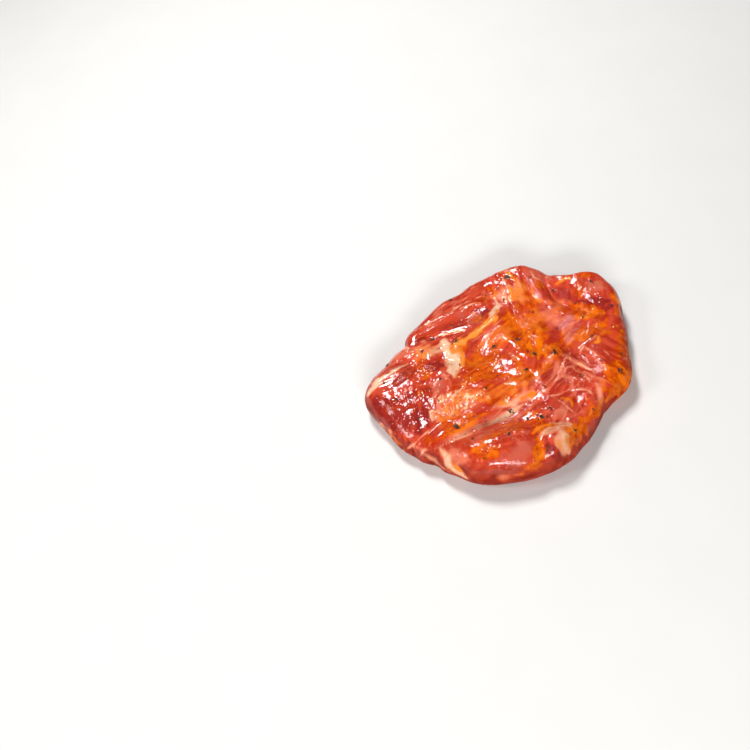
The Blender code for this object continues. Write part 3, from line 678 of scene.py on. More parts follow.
def unevenness(x, y):
    """Sum of sine waves whose directions, phases and stretch come from a seeded draw."""
    draw = random.Random(WAVE_SEED)
    total = np.zeros_like(x)
    for wavelength, height, count in UNEVEN:
        for _ in range(count):
            heading = draw.uniform(0.0, math.tau)
            phase = draw.uniform(0.0, math.tau)
            stretch = draw.uniform(0.8, 1.25)
            reach = (x * math.cos(heading) + y * math.sin(heading)) * math.tau / (wavelength * stretch)
            total += height * math.sqrt(2.0 / count) * np.sin(reach + phase)
    return total


def top_height(x, y):
    """Height of the top face: a level, plus bell-shaped swells, less bell-shaped seams, plus unevenness."""
    height = TOP + unevenness(x, y)
    for middle_x, middle_y, half_length, half_width, turn, rise in SWELLS.values():
        cos, sin = math.cos(math.radians(turn)), math.sin(math.radians(turn))
        lengthwise = ((x - middle_x) * cos + (y - middle_y) * sin) / half_length
        crosswise = ((y - middle_y) * cos - (x - middle_x) * sin) / half_width
        height = height + rise * bell(np.hypot(lengthwise, crosswise), 1.0)
    for seam in SEAMS.values():
        height = height - seam_depth(x, y, *seam)
    return height


def wall_crease(turn, lift):
    """How far the side wall is drawn in: a bell for each crease, deepest at the widest line."""
    drawn_in = np.zeros_like(turn)
    for direction, spread, depth in WALL_CREASES.values():
        drawn_in += depth * bell(angle_gap(turn, direction), spread)
    return drawn_in * np.cos(lift) ** 2


def top_face(reach, turn):
    """Points of the top face: reach 0 at the middle, 1 where the rounded edge starts."""
    radius = reach * (rim_radius(turn) - edge_round(turn))
    x, y = radius * np.cos(turn), radius * np.sin(turn)
    return np.stack([x, y, top_height(x, y)], axis=-1)


def side_wall(lift, turn):
    """Points of the edge: lift 90 degrees at the top face, 0 at the widest line, -90 at the underside.

    Above the widest line the edge is a quarter of an ellipse up to the top face's own height, and
    below it a quarter of an ellipse down to the flat underside.
    """
    crest = rim_radius(turn) - edge_round(turn)
    crest_height = top_height(crest * np.cos(turn), crest * np.sin(turn))
    waist = WAIST * crest_height
    upper = lift > 0
    inset = np.where(upper, edge_round(turn), EDGE_ROUND_BELOW) * (1.0 - np.cos(lift))
    radius = rim_radius(turn) - inset - wall_crease(turn, lift)
    height = waist + np.where(upper, crest_height - waist, waist) * np.sin(lift)
    return np.stack([radius * np.cos(turn), radius * np.sin(turn), height], axis=-1)


def middle_of_plan():
    """Middle of the outline's box, which becomes the origin."""
    turn = np.linspace(0.0, math.tau, 1440, endpoint=False)
    x, y = rim_radius(turn) * np.cos(turn), rim_radius(turn) * np.sin(turn)
    return np.array([(x.min() + x.max()) / 2, (y.min() + y.max()) / 2, 0.0])


def noise(points, cell, seed):
    """Value noise, -1..1: random heights on a lattice of that cell, blended smoothly between its corners."""
    table = np.random.default_rng(seed).uniform(-1.0, 1.0, (LATTICE, LATTICE, LATTICE))
    place = points / np.asarray(cell, float)
    corner = np.floor(place).astype(int)
    blend = smooth(place - corner)
    total = np.zeros(len(points))
    for i in (0, 1):
        for j in (0, 1):
            for k in (0, 1):
                steps = np.array((i, j, k))
                weight = np.prod(np.where(steps, blend, 1.0 - blend), axis=1)
                x, y, z = ((corner + steps) % LATTICE).T
                total += weight * table[x, y, z]
    return total


def turned(points, degrees):
    """The points turned about the vertical, so that a direction in the plan comes to lie along X."""
    cos, sin = math.cos(math.radians(degrees)), math.sin(math.radians(degrees))
    x, y, z = points.T
    return np.stack([x * cos + y * sin, y * cos - x * sin, z], axis=1)


def waver(points, axis):
    """How far the strokes are moved along an axis: broad noise plus fine noise."""
    broad = BROAD_WAVER * noise(points, *SPOTS[f"broad waver {axis}"])
    return broad + FINE_WAVER * noise(points, *SPOTS[f"fine waver {axis}"])


def slanted(points):
    """Each point carried along the slant of the muscles to the level of the top, with a little waver."""
    lift = points[:, 2] - TOP
    x = points[:, 0] + SLANT[0] * lift + waver(points, "x")
    y = points[:, 1] + SLANT[1] * lift + waver(points, "y")
    return x, y


def painted(x, y, strokes, ragged=0.0):
    """How far each point is covered, from 0 up to a stroke's strength: the strongest of the strokes there.

    A stroke of one width tapers at its ends. Its edge is soft, and moves in and out with the ragged values.
    """
    cover = np.zeros_like(x)
    ragged = np.broadcast_to(ragged, x.shape)
    for width, softness, strength, points in strokes.values():
        line = through_points(points)
        reach = np.max(width) + 2 * softness
        low, high = line.min(axis=0) - reach, line.max(axis=0) + reach
        near = (x > low[0]) & (x < high[0]) & (y > low[1]) & (y < high[1])
        distance, place = nearest_on_line(x[near], y[near], line)
        widths = np.broadcast_to(width, len(points))
        half = np.interp(place, np.linspace(0.0, 1.0, len(points)), widths) / 2
        if np.ndim(width) == 0:
            half = half * (END_WIDTH + (1.0 - END_WIDTH) * smooth(np.minimum(place, 1.0 - place) / TAPER))
        edge = half * (1.0 + RAGGED_BY_WIDTH * ragged[near]) + RAGGED_BY_SOFTNESS * softness * ragged[near]
        cover[near] = np.maximum(cover[near], strength * smooth(0.5 + (edge - distance) / softness))
    return cover


def along_the_grain(points, length, width, seed):
    """Noise drawn out along the muscle fibres: each muscle's own, weighted by a bell round its middle."""
    total, weights = np.zeros(len(points)), np.full(len(points), ABOVE_NOUGHT)
    for number, (x, y, radius, direction) in enumerate(GRAIN.values()):
        weight = bell(np.hypot(points[:, 0] - x, points[:, 1] - y), radius) ** 2
        near = weight > NEGLIGIBLE
        streaks = noise(turned(points[near], direction), (length, width, 3.0 * width), seed + number)
        total[near] += weight[near] * streaks
        weights[near] += weight[near]
    return total / weights


def threads(points):
    """Fine pale threads, 0..1: narrow bands where two noises drawn out along the grain pass nought."""
    wide = 1.0 - np.abs(along_the_grain(points, *STREAKS["wide threads"])) / WIDE_BAND
    narrow = 1.0 - np.abs(along_the_grain(points, *STREAKS["narrow threads"])) / NARROW_BAND
    return np.clip(np.maximum(wide, NARROW_THREADS * narrow), 0.0, 1.0)


def patchiness(points, name, strength):
    """Noise in spots, to a strength, plus noise in streaks along the grain, to half strength."""
    return strength * noise(points, *SPOTS[name]) + 0.5 * along_the_grain(points, *STREAKS[name])


def square_ring(cells):
    """Indices of a square grid's outer vertices, counter-clockwise, from its low corner."""
    n = cells + 1
    along = np.arange(cells)
    return np.concatenate([along * n, cells * n + along, (cells - along) * n + cells, cells - along])


def slab_grid():
    """Points of the slab's skin, its four-sided faces, and the fan of three-sided ones under its middle.

    The top is a square grid laid on a disc by x = u sqrt(1 - v^2 / 2), y = v sqrt(1 - u^2 / 2). Its
    outer vertices carry on down the rounded edge in levels, and then in rings to the underside's middle.
    """
    u, v = np.meshgrid(np.linspace(-1, 1, CELLS + 1), np.linspace(-1, 1, CELLS + 1), indexing="ij")
    disc_x, disc_y = u * np.sqrt(1 - v**2 / 2), v * np.sqrt(1 - u**2 / 2)
    reach, turn = np.hypot(disc_x, disc_y).ravel(), np.arctan2(disc_y, disc_x).ravel()
    ring = square_ring(CELLS)
    lifts = np.linspace(math.pi / 2, -math.pi / 2, EDGE_LEVELS + 1)[1:]
    edge = side_wall(lifts[:, None] + 0 * turn[ring], turn[ring] + 0 * lifts[:, None])
    shares = np.linspace(1.0, 0.0, UNDER_RINGS + 1)[1:-1]
    under = edge[-1] * shares[:, None, None] * np.array([1.0, 1.0, 0.0])
    points = np.vstack([top_face(reach, turn), edge.reshape(-1, 3), under.reshape(-1, 3), [[0.0, 0.0, 0.0]]])

    n = CELLS + 1
    corner = (np.arange(CELLS)[:, None] * n + np.arange(CELLS)).ravel()
    top = np.stack([corner, corner + n, corner + n + 1, corner + 1], axis=1)
    rings = [ring]
    first = n * n
    for _ in range(EDGE_LEVELS + len(shares)):
        rings.append(first + np.arange(len(ring)))
        first += len(ring)
    bands = [
        np.stack([upper, lower, np.roll(lower, -1), np.roll(upper, -1)], axis=1)
        for upper, lower in zip(rings, rings[1:])
    ]
    last = rings[-1]
    fan = np.stack([last, np.full_like(last, first), np.roll(last, -1)], axis=1)
    return points, np.vstack([top, *bands]), fan


def vertex_normals(points, quads, fan):
    """Outward unit normals: the sum of the normals of the faces around each vertex."""
    normals = np.zeros_like(points)
    for faces in (quads, fan):
        corners = points[faces]
        across = np.cross(corners[:, 2] - corners[:, 0], corners[:, -1] - corners[:, 1])
        if faces.shape[1] == 3:
            across = np.cross(corners[:, 1] - corners[:, 0], corners[:, 2] - corners[:, 0])
        for column in range(faces.shape[1]):
            np.add.at(normals, faces[:, column], across)
    return normals / np.linalg.norm(normals, axis=1, keepdims=True)


def ridged(value):
    """Sharp crests where a noise passes through nought: 1 - 2 |value|, from -1 to 1."""
    return 1.0 - 2.0 * np.abs(value)


def bent(points):
    """The points moved a little by noise along each axis, so that creases wander."""
    return points + BEND * np.stack([noise(points, *SPOTS[f"bend {axis}"]) for axis in "xyz"], axis=1)


def crinkles(points):
    """Crests of wet silverskin, -1..1: four tenths ridges at random, six tenths along the grain."""
    wandering = bent(points)
    at_random = ridged(noise(wandering, *SPOTS["crinkles"]))
    return 0.4 * at_random + 0.6 * ridged(along_the_grain(wandering, *STREAKS["crinkles"]))


def fine_relief(points, covers):
    """Height of the fine forms along the normals.

    It is the sum of crinkles, fibres, folds along the grain, lumps, and beads of oil, with the fat and
    the webbing standing up a little.
    """
    crinkled = covers["crinkled"]
    folds = along_the_grain(bent(points), *STREAKS["folds"]) * RELIEF["folds"]
    lumps = noise(points, *SPOTS["lumps"]) + 0.5 * noise(points, *SPOTS["small lumps"])
    beads = smooth(2.2 * noise(points, *SPOTS["oil beads"]) - 0.35) * RELIEF["oil beads"]
    height = RELIEF["crinkles"] * (2.0 * covers["crest"] - 1.0) * crinkled
    height += RELIEF["fibres"] * covers["fibre"] * (1.0 - 0.5 * crinkled)
    height += (
        folds * (1.0 - 0.7 * covers["shining"])
        + RELIEF["lumps"] * lumps
        + beads * (0.2 + 0.8 * covers["marinade"])
    )
    fat = np.maximum(covers["fat"], covers["gold"])
    height += RELIEF["webbing"] * covers["webbing"] + RELIEF["fat"] * fat
    return height


def new_mesh(name, points, faces, material, smooth_faces=True):
    """A mesh object at the origin from points in millimetres and lists of faces."""
    mesh = bpy.data.meshes.new(name)
    mesh.from_pydata((points * MM).tolist(), [], faces)
    mesh.polygons.foreach_set("use_smooth", [smooth_faces] * len(mesh.polygons))
    mesh.materials.append(material)
    mesh.update()
    piece = bpy.data.objects.new(name, mesh)
    bpy.context.scene.collection.objects.link(piece)
    return piece


def keep_attribute(piece, name, values):
    """Keeps one value for each vertex, for the material to read."""
    attribute = piece.data.attributes.new(name, "FLOAT", "POINT")
    attribute.data.foreach_set("value", np.asarray(values, np.float32))


def place_on_body(piece):
    """Makes a piece part of the chop's body, in place of the solid."""
    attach(piece, "root")
    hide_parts(NODE)


class Nodes:
    """Short hand for making a material's nodes and joining their sockets."""

    def __init__(self, name):
        self.material = bpy.data.materials.new(name)
        self.material.use_nodes = True
        self.tree = self.material.node_tree
        self.shader = self.tree.nodes["Principled BSDF"]

    def add(self, kind, values=None, **settings):
        """A new node with its settings and the values of its sockets."""
        node = self.tree.nodes.new(kind)
        for key, value in settings.items():
            setattr(node, key, value)
        for name, value in (values or {}).items():
            node.inputs[name].default_value = value
        return node

    def join(self, source, target):
        """Links one node's output to another's input."""
        self.tree.links.new(source, target)

    def feed(self, sockets, values):
        """Joins each socket to its value, or sets it where that is a number or a colour."""
        for socket, value in zip(sockets, values):
            if isinstance(value, tuple):
                socket.default_value = (*value, 1.0)
            elif isinstance(value, (int, float)):
                socket.default_value = value
            elif value is not None:
                self.join(value, socket)

    def finish(self, joined, values):
        """Joins sockets of the shader, sets others to one value all over, and gives back the material."""
        for name, source in joined.items():
            self.join(source, self.shader.inputs[name])
        for name, value in values.items():
            self.shader.inputs[name].default_value = value
        return self.material

    def coordinates(self, scale=(1.0, 1.0, 1.0), turn=0.0):
        """Object coordinates in millimetres, scaled along each axis, then turned about the vertical."""
        spot = self.add("ShaderNodeTexCoord")
        scale = tuple(value / MM for value in scale)
        mapping = self.add(
            "ShaderNodeMapping", {"Rotation": (0.0, 0.0, math.radians(turn)), "Scale": scale}
        )
        self.join(spot.outputs["Object"], mapping.inputs["Vector"])
        return mapping.outputs["Vector"]

    def noise(self, size, detail, roughness):
        """Noise with features of about that size in millimetres."""
        texture = self.add(
            "ShaderNodeTexNoise", {"Scale": 1.0, "Detail": detail, "Roughness": roughness}
        )
        self.join(self.coordinates((1.0 / size,) * 3), texture.inputs["Vector"])
        return texture.outputs["Fac"]

    def facets(self, size, fineness, turn):
        """Crumpled cells, of about that size divided by their fineness along each axis.

        The value is the distance from the middle of each cell: 0 there, and more towards its edges.
        """
        waver_noise = self.add("ShaderNodeTexNoise", {"Scale": FACET_WAVES / size})
        self.join(self.coordinates(), waver_noise.inputs["Vector"])
        wavering = self.add("ShaderNodeVectorMath", operation="MULTIPLY_ADD")
        self.join(waver_noise.outputs["Color"], wavering.inputs[0])
        wavering.inputs[1].default_value = (FACET_WAVER,) * 3
        self.join(self.coordinates(tuple(value / size for value in fineness), turn), wavering.inputs[2])
        cells = self.add("ShaderNodeTexVoronoi", {"Scale": 1.0})
        self.join(wavering.outputs["Vector"], cells.inputs["Vector"])
        return cells.outputs["Distance"]

    def droplets(self, spacing, radius):
        """Small round domes strewn about: 1 - (distance / radius)^2 round the middle of each."""
        cells = self.add("ShaderNodeTexVoronoi", {"Scale": 1.0 / spacing})
        self.join(self.coordinates(), cells.inputs["Vector"])
        reach = self.math("MULTIPLY", cells.outputs["Distance"], spacing / radius)
        return self.math("SUBTRACT", 1.0, self.math("MULTIPLY", reach, reach), clamp=True)

    def attribute(self, name):
        """What covers the flesh at each point, as keep_attribute stored it."""
        return self.add("ShaderNodeAttribute", attribute_name=name).outputs["Fac"]

    def math(self, operation, first, second=None, third=None, clamp=False):
        """A calculation on up to three values, each a socket or a number."""
        node = self.add("ShaderNodeMath", operation=operation, use_clamp=clamp)
        self.feed(node.inputs, (first, second, third))
        return node.outputs["Value"]

    def varied(self, value, speckle, amount):
        """A value moved up and down by a noise: value + (noise - 0.5) * amount."""
        return self.math("MULTIPLY_ADD", self.math("SUBTRACT", speckle, 0.5), amount, value)

    def between(self, value, start, end):
        """0 up to the start level, 1 from the end level on, eased between them. The end may be lower."""
        limits = {"From Min": start, "From Max": end}
        node = self.add("ShaderNodeMapRange", limits, interpolation_type="SMOOTHSTEP")
        self.join(value, node.inputs["Value"])
        return node.outputs["Result"]

    def mix(self, share, first, second, blend="MIX"):
        """A mix of two colours, with that share of the second."""
        node = self.add("ShaderNodeMix", data_type="RGBA", blend_type=blend)
        self.feed((node.inputs[0], node.inputs[6], node.inputs[7]), (share, first, second))
        return node.outputs[2]

    def bump(self, height, distance, normal=None):
        """A normal tilted by a height of 0..1, which stands for that many millimetres."""
        node = self.add("ShaderNodeBump", {"Distance": distance * MM, "Strength": 1.0})
        self.join(height, node.inputs["Height"])
        if normal is not None:
            self.join(normal, node.inputs["Normal"])
        return node.outputs["Normal"]


def flesh_colour(nodes, rise, crinkled):
    """Red muscle in streaks, rosy parts and painted sheen, crimson parts, painted wall shade, webbing, fat,
    film, painted crease light.
    """
    specks = nodes.noise(0.9, 3.0, 0.6)
    mottle = nodes.noise(2.4, 4.0, 0.6)
    fibre = nodes.varied(nodes.attribute("fibre"), specks, 0.6)

    def laid_on(under, name, colour, low, high, strength=1.0, breakup=0.25, patchy=0.0):
        """A colour over what is under it, where an attribute, broken up by noise, goes from low to high."""
        level = nodes.varied(nodes.attribute(name), specks, breakup)
        level = nodes.varied(level, mottle, patchy)
        return nodes.mix(nodes.math("MULTIPLY", nodes.between(level, low, high), strength), under, colour)

    flesh = nodes.mix(nodes.between(fibre, 0.1, 1.0), TONES["meat"], TONES["meat fibres"])
    mottled = nodes.math("MULTIPLY", nodes.between(mottle, 0.4, 0.75), 0.35)
    flesh = nodes.mix(mottled, flesh, TONES["meat mottling"])
    # Rosy flesh, and in places a painted sheen where soft light would reflect.
    flesh = laid_on(flesh, "rosy", TONES["rosy meat and sheen"], 0.0, 1.0)
    # Crimson muscle, and a painted shade along the side walls and their creases.
    crimson = nodes.mix(fibre, TONES["crimson meat"], TONES["crimson fibres"])
    flesh = laid_on(flesh, "crimson", crimson, 0.0, 0.85)
    # Painted shade: the side walls are coloured darker than the top.
    wall = nodes.mix(fibre, TONES["wall"], TONES["shaded wall fibres"])
    flesh = laid_on(flesh, "wall", wall, 0.0, 1.0, 0.82)
    flesh = laid_on(flesh, "webbing", TONES["thin webbing"], 0.0, 0.55)
    flesh = laid_on(flesh, "webbing", TONES["webbing"], 0.4, 0.9)
    # The fat includes a painted glare on the fold zone.
    flesh = laid_on(flesh, "fat", TONES["thin fat"], 0.0, 0.5)
    fat = nodes.mix(mottle, TONES["fat"], TONES["fat mottling"])
    flesh = laid_on(flesh, "fat", fat, 0.3, 1.05, 1.0, 0.2, 0.8)

    tinted = nodes.mix(1.0, flesh, TONES["oil tint"], "MULTIPLY")
    film = nodes.mix(nodes.between(mottle, 0.35, 0.65), TONES["film"], TONES["film mottling"])
    film = nodes.mix(nodes.between(fibre, 0.05, 0.5), TONES["film between fibres"], film)
    film = laid_on(film, "webbing", TONES["film on webbing"], 0.05, 0.7, 0.85)
    coloured = laid_on(flesh, "marinade", tinted, 0.0, 0.7)
    coloured = laid_on(coloured, "marinade", film, 0.15, 1.0, 0.88, 0.15, 0.6)
    coloured = laid_on(coloured, "pool", TONES["pool"], 0.05, 0.75, 1.0, 0.2)
    coloured = laid_on(coloured, "gold", TONES["thin gold"], 0.0, 0.6)
    coloured = laid_on(coloured, "gold", TONES["gold"], 0.4, 1.0)

    # Painted shade over the crumpled facets and in the creases between crinkle crests, and a painted
    # highlight on the pale crests.
    hollow = nodes.math("MULTIPLY", nodes.between(rise, 0.35, 0.75), crinkled)
    coloured = nodes.mix(nodes.math("MULTIPLY", hollow, 0.5), coloured, TONES["hollow"])
    crest = nodes.attribute("crest")
    painted_crease_shade = nodes.math("MULTIPLY", nodes.between(crest, 0.74, 0.56), crinkled)
    coloured = nodes.mix(nodes.math("MULTIPLY", painted_crease_shade, 0.55), coloured, TONES["crease"])
    pale = nodes.math("MULTIPLY", nodes.between(crest, 0.83, 0.93), nodes.attribute("webbing"))
    return nodes.mix(nodes.math("MULTIPLY", pale, crinkled), coloured, TONES["painted crest highlight"])


def oil_coat(nodes, rise, crinkled):
    """The oil's normal, from swirls, facets and droplets, and how far it covers: less on wall and paste."""
    shining = nodes.attribute("shining")
    swirls = nodes.math("MULTIPLY_ADD", nodes.attribute("dulled"), 0.3, 0.2)
    swirls = nodes.math("SUBTRACT", swirls, nodes.math("MULTIPLY", shining, 0.16))
    wet = nodes.bump(nodes.math("MULTIPLY", nodes.noise(1.3, 1.0, 0.5), swirls), OIL_SWIRLS)
    wet = nodes.bump(nodes.math("MULTIPLY", rise, crinkled), OIL_FACETS, wet)
    droplets = nodes.droplets(DROPLET_SPACING, DROPLET_RADIUS)
    wet = nodes.bump(droplets, OIL_DROPLETS, wet)
    dulled = nodes.math("MULTIPLY", nodes.attribute("dulled"), 0.82)
    dulled = nodes.math("MULTIPLY", dulled, nodes.math("SUBTRACT", 1.0, nodes.between(droplets, 0.0, 0.3)))
    dry = nodes.math("SUBTRACT", nodes.attribute("wall"), shining, clamp=True)
    dry = nodes.math("MAXIMUM", nodes.math("MULTIPLY", dry, 0.92), dulled)
    return wet, nodes.math("SUBTRACT", 1.0, dry)


def flesh_material():
    """Wet pork: the colour of the flesh and its fine grain, under a coat of oil."""
    nodes = Nodes("marinated flesh")
    rise = nodes.facets(FACET_SIZE, FACET_FINENESS, FACET_TURN)
    crinkled = nodes.attribute("crinkled")
    wet, cover = oil_coat(nodes, rise, crinkled)
    joined = {
        "Base Color": flesh_colour(nodes, rise, crinkled),
        "Normal": nodes.bump(nodes.noise(1.2, 3.0, 0.5), 0.10),
        "Coat Normal": wet,
        "Coat Weight": cover,
    }
    values = {
        "Roughness": 0.45,
        "Specular IOR Level": 0.02,
        "Subsurface Weight": 0.12,
        "Subsurface Radius": (1.0, 0.3, 0.15),
        "Subsurface Scale": 0.002,
        "Coat Roughness": 0.06,
        "Coat IOR": 1.45,
    }
    return nodes.finish(joined, values)


def crumb_material(name, colours, mottling, roughening, values):
    """Pepper or spice: two colours mottled together, a rough surface, and a thin coat of oil.

    The mottling is its size, detail and roughness, and where it passes from the first colour to the
    second. The roughening is the size and the height of the bumps.
    """
    nodes = Nodes(name)
    size, detail, roughness, levels = mottling
    share = nodes.noise(size, detail, roughness)
    if levels:
        share = nodes.between(share, *levels)
    bumps, height = roughening
    joined = {
        "Base Color": nodes.mix(share, *colours),
        "Normal": nodes.bump(nodes.noise(bumps, 2.0, 0.5), height),
    }
    return nodes.finish(joined, values)


def pepper_material():
    """Nearly black cracked pepper with brown parts."""
    return crumb_material(
        "cracked pepper",
        ((0.008, 0.005, 0.003), (0.075, 0.040, 0.018)),
        (0.5, 3.0, 0.6, (0.35, 0.75)),
        (0.35, 0.16),
        {"Roughness": 0.6, "Coat Weight": 0.25, "Coat Roughness": 0.12},
    )


def spice_material():
    """Red-brown ground spice, more oily than the pepper."""
    return crumb_material(
        "ground spice",
        ((0.14, 0.018, 0.008), (0.34, 0.06, 0.015)),
        (0.4, 2.0, 0.5, None),
        (0.3, 0.08),
        {"Roughness": 0.4, "Coat Weight": 0.8, "Coat Roughness": 0.1},
    )


def flesh_covers(points, normals):
    """What covers the flesh at each point, as shares of 0..1 or a little more."""
    x, y = slanted(points)
    ragged = patchiness(points, "ragged edges", 0.6)
    blotches = patchiness(points, "blotches", 0.7)
    web = np.maximum(
        painted(x, y, WEBBING, ragged) * (0.75 + 0.25 * ragged),
        THREAD_STRENGTH * threads(points) * painted(x, y, THREADED, ragged),
    )
    oil = painted(x, y, MARINADE, ragged) * (0.8 + 0.4 * blotches) + 0.1 * blotches
    return {
        # Cream fat, with a painted glare on the fold zone.
        "fat": painted(x, y, CREAM_FAT_AND_GLARE, 0.7 * ragged),
        "webbing": np.clip(web, 0.0, 1.0),
        "gold": painted(x, y, YELLOW_FAT, ragged),
        "marinade": np.clip(oil, 0.0, 1.0),
        "pool": np.clip((oil - 1.0) / 0.4, 0.0, 1.0),
        # Crimson muscle, with painted shade on the walls and in the wall creases.
        "crimson": np.clip(painted(x, y, CRIMSON_AND_WALL_SHADE, ragged) + 0.2 * blotches, 0.0, 1.0),
        # Rosy flesh, with a painted sheen in places.
        "rosy": painted(x, y, ROSY_AND_SHEEN, ragged),
        "fibre": 0.5 + 0.5 * np.clip(1.5 * along_the_grain(points, *STREAKS["fibres"]), -1.0, 1.0),
        "crinkled": painted(x, y, CRINKLED, ragged),
        "dulled": painted(x, y, DULLED, ragged),
        "shining": painted(x, y, SHINING_WALL, ragged),
        # Side wall: painted shade in the colour, and a thinner coat of oil.
        "wall": smooth((WALL_STEEPNESS - normals[:, 2]) / WALL_SPAN),
        "crest": 0.5 + 0.5 * crinkles(points),
    }


def make_flesh():
    """The slab's skin with its fine relief, and what covers it as attributes."""
    points, quads, fan = slab_grid()
    normals = vertex_normals(points, quads, fan)
    covers = flesh_covers(points, normals)
    relief = fine_relief(points, covers) * smooth((points[:, 2] - SMOOTH_BELOW) / RELIEF_FADE)
    points = points + normals * relief[:, None] - middle_of_plan()
    points[:, 2] = np.maximum(points[:, 2], 0.0)
    piece = new_mesh("flesh", points, [*quads.tolist(), *fan.tolist()], flesh_material())
    for name, values in covers.items():
        keep_attribute(piece, name, values)
    place_on_body(piece)
    return points, vertex_normals(points, quads, fan), covers["marinade"]


def small_flakes(draw):
    """Places for the smaller flakes: of a few random places, each takes the one furthest from the rest."""
    flakes = list(LARGE_FLAKES)
    lengths = np.linspace(*SMALL_FLAKE_LENGTHS, SMALL_FLAKES)
    for length in lengths:
        best, best_gap = None, 0.0
        for _ in range(TRIES_EACH):
            turn = draw.uniform(0.0, math.tau)
            limit = float(rim_radius(np.array([turn]))[0]) - FLAKE_EDGE_GAP
            reach = limit * math.sqrt(draw.random())
            x, y = reach * math.cos(turn), reach * math.sin(turn)
            gap = min(math.hypot(x - flake[0], y - flake[1]) for flake in flakes)
            if gap > best_gap:
                best, best_gap = (x, y, float(length)), gap
        if best_gap > CLEAR_OF_EACH_OTHER:
            flakes.append(best)
    return flakes[len(LARGE_FLAKES):]


def ball(rings, segments):
    """Points and faces of a unit ball: rings of points between two poles."""
    up = np.linspace(math.pi / 2, -math.pi / 2, rings + 2)[1:-1, None]
    around = np.linspace(0.0, math.tau, segments, endpoint=False)[None, :]
    level = np.cos(up)
    shell = np.stack([level * np.cos(around), level * np.sin(around), np.sin(up) + 0 * around], -1)
    points = np.vstack([[[0.0, 0.0, 1.0]], shell.reshape(-1, 3), [[0.0, 0.0, -1.0]]])
    index = 1 + np.arange(rings * segments).reshape(rings, segments)
    after = np.roll(index, -1, axis=1)
    last = len(points) - 1
    faces = [(0, a, b) for a, b in zip(index[0], after[0])]
    for upper in range(rings - 1):
        corners = (index[upper], index[upper + 1], after[upper + 1], after[upper])
        faces += [tuple(int(i) for i in face) for face in zip(*corners)]
    faces += [(last, b, a) for a, b in zip(index[-1], after[-1])]
    return points, [tuple(int(i) for i in face) for face in faces]


def broken_bits(name, spots, normals, lengths, fineness, seed, material, raised=0.1):
    """Many broken bits as one mesh.

    Each is a ball cut by random planes: along any direction its surface lies at the nearest plane,
    h / (n . direction). It is stretched to its length, flattened, turned at random and laid on the
    flesh, raised by a share of its length.
    """
    draw = np.random.default_rng(seed)
    base, faces = ball(*fineness)
    all_points, all_faces = [], []
    for spot, normal, length in zip(spots, normals, lengths):
        cuts = draw.normal(size=(BIT_PLANES, 3))
        cuts /= np.linalg.norm(cuts, axis=1, keepdims=True)
        depth = draw.uniform(*BIT_CUTS, BIT_PLANES)
        facing = np.clip(base @ cuts.T, 1e-3, None)
        radius = np.minimum((depth / facing).min(axis=1), 1.0)
        stretch = np.array([BIT_LENGTH, draw.uniform(*BIT_WIDTHS), draw.uniform(*BIT_THICKNESSES)])
        bit = base * radius[:, None] * (length / 2) * stretch
        spin = draw.uniform(0.0, math.tau)
        side = np.cross(normal, [math.cos(spin), math.sin(spin), 0.15])
        side /= np.linalg.norm(side)
        axes = np.stack([side, np.cross(normal, side), normal])
        all_faces += [tuple(i + len(base) * len(all_points) for i in face) for face in faces]
        all_points.append(bit @ axes + spot + normal * length * raised)
    return new_mesh(name, np.vstack(all_points), all_faces, material, smooth_faces=False)


def make_pepper(points, normals, material):
    """The solid's cracked pepper flakes, with crumbs round them, on the skin's nearest upward vertices."""
    flakes = np.array([*LARGE_FLAKES, *small_flakes(random.Random(FLAKE_SEED))])
    draw = np.random.default_rng(CRUMB_SEED)
    crumbs = np.repeat(flakes, CRUMBS_EACH, axis=0)
    turn = draw.uniform(0.0, math.tau, len(crumbs))
    reach = draw.uniform(*CRUMB_DISTANCES, len(crumbs))
    crumbs[:, 0] += crumbs[:, 2] * reach * np.cos(turn)
    crumbs[:, 1] += crumbs[:, 2] * reach * np.sin(turn)
    crumbs[:, 2] *= draw.uniform(*CRUMB_SHARES, len(crumbs))
    flakes = np.vstack([flakes * [1.0, 1.0, BALL_SHARE], crumbs])
    shift = middle_of_plan()
    upward = np.flatnonzero(normals[:, 2] > FLAKES_FACE_UP)
    gaps = np.hypot(
        points[upward, 0][None] + shift[0] - flakes[:, :1],
        points[upward, 1][None] + shift[1] - flakes[:, 1:2],
    )
    nearest = upward[gaps.argmin(axis=1)]
    spots = (points[nearest], normals[nearest], flakes[:, 2])
    piece = broken_bits("pepper_flakes", *spots, FLAKE_BALL, FLAKE_SHAPE_SEED, material)
    place_on_body(piece)


def strew(name, crumbs, material, points, normals, marinade):
    """Crumbs at a seeded draw of the skin's vertices that don't face down, denser where the marinade is."""
    count, lengths, bare_chance, raised, place_seed, shape_seed = crumbs
    draw = np.random.default_rng(place_seed)
    chance = (bare_chance + marinade) * (normals[:, 2] > CRUMBS_FACE_UP)
    chosen = draw.choice(len(points), count, replace=False, p=chance / chance.sum())
    spots = (points[chosen], normals[chosen], draw.uniform(*lengths, count))
    place_on_body(broken_bits(name, *spots, CRUMB_BALL, shape_seed, material, raised))


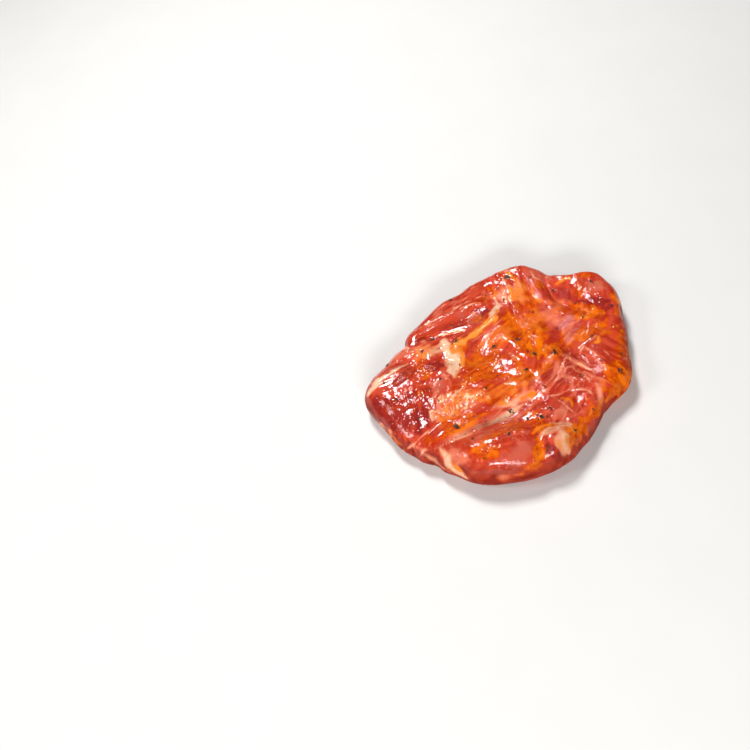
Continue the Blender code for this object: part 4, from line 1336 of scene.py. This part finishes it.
def make_floor():
    """A pale matt floor under the chop."""
    nodes = Nodes("pale floor")
    tone = nodes.mix(nodes.noise(40.0, 3.0, 0.5), (0.80, 0.79, 0.77), (0.84, 0.83, 0.81))
    material = nodes.finish({"Base Color": tone}, {"Roughness": 0.6, "Specular IOR Level": 0.2})
    corners = FLOOR_REACH * np.array([[-1, -1, 0], [1, -1, 0], [1, 1, 0], [-1, 1, 0]], float)
    floor = new_mesh("floor", corners, [(0, 1, 2, 3)], material)


def stand(name, data, right, up, back, place):
    """Puts a light or a camera at a place in millimetres, by its own right, up and backward directions."""
    axes = np.eye(4)
    axes[:3, :3] = np.stack([right, up, back], axis=1)
    axes[:3, 3] = np.array(place) * MM
    holder = bpy.data.objects.new(name, data)
    holder.matrix_world = Matrix(axes.tolist())
    bpy.context.scene.collection.objects.link(holder)
    return holder


def make_light(name, place, width, height, power):
    """An oblong soft light, aimed at the chop."""
    lamp = bpy.data.lights.new(name, "AREA")
    lamp.shape = "RECTANGLE"
    lamp.size = width * MM
    lamp.size_y = height * MM
    lamp.energy = power
    back = np.array(place) / np.linalg.norm(place)
    right = np.cross([0.0, 0.0, 1.0], back)
    right /= np.linalg.norm(right)
    stand(name, lamp, right, np.cross(back, right), back, place)


def make_studio():
    """A bright light behind, a faint one on the left, a faint fill and a bright strip in front, and a
    dim surround.
    """
    for name, light in LIGHTS.items():
        make_light(name, *light)
    world = bpy.data.worlds.new("studio surround")
    world.use_nodes = True
    background = world.node_tree.nodes["Background"]
    background.inputs["Color"].default_value = (1.0, 1.0, 1.0, 1.0)
    background.inputs["Strength"].default_value = SURROUND
    bpy.context.scene.world = world
    bpy.context.scene.view_settings.view_transform = "Standard"


def make_camera():
    """The camera, at the photograph's viewing angle."""
    camera = bpy.data.cameras.new("camera")
    camera.sensor_width = SENSOR
    camera.lens = LENS
    camera.clip_start = NEAREST_SEEN * MM
    up, back = -np.array(CAMERA_DOWN), -np.array(CAMERA_FORWARD)
    bpy.context.scene.camera = stand("camera", camera, CAMERA_RIGHT, up, back, CAMERA_AT)


skin, skin_normals, marinade_cover = make_flesh()
pepper = pepper_material()
make_pepper(skin, skin_normals, pepper)
strew("pepper_chips", PEPPER_CHIPS, pepper, skin, skin_normals, marinade_cover)
strew("spice_flecks", SPICE_FLECKS, spice_material(), skin, skin_normals, marinade_cover)
make_floor()
make_studio()
make_camera()
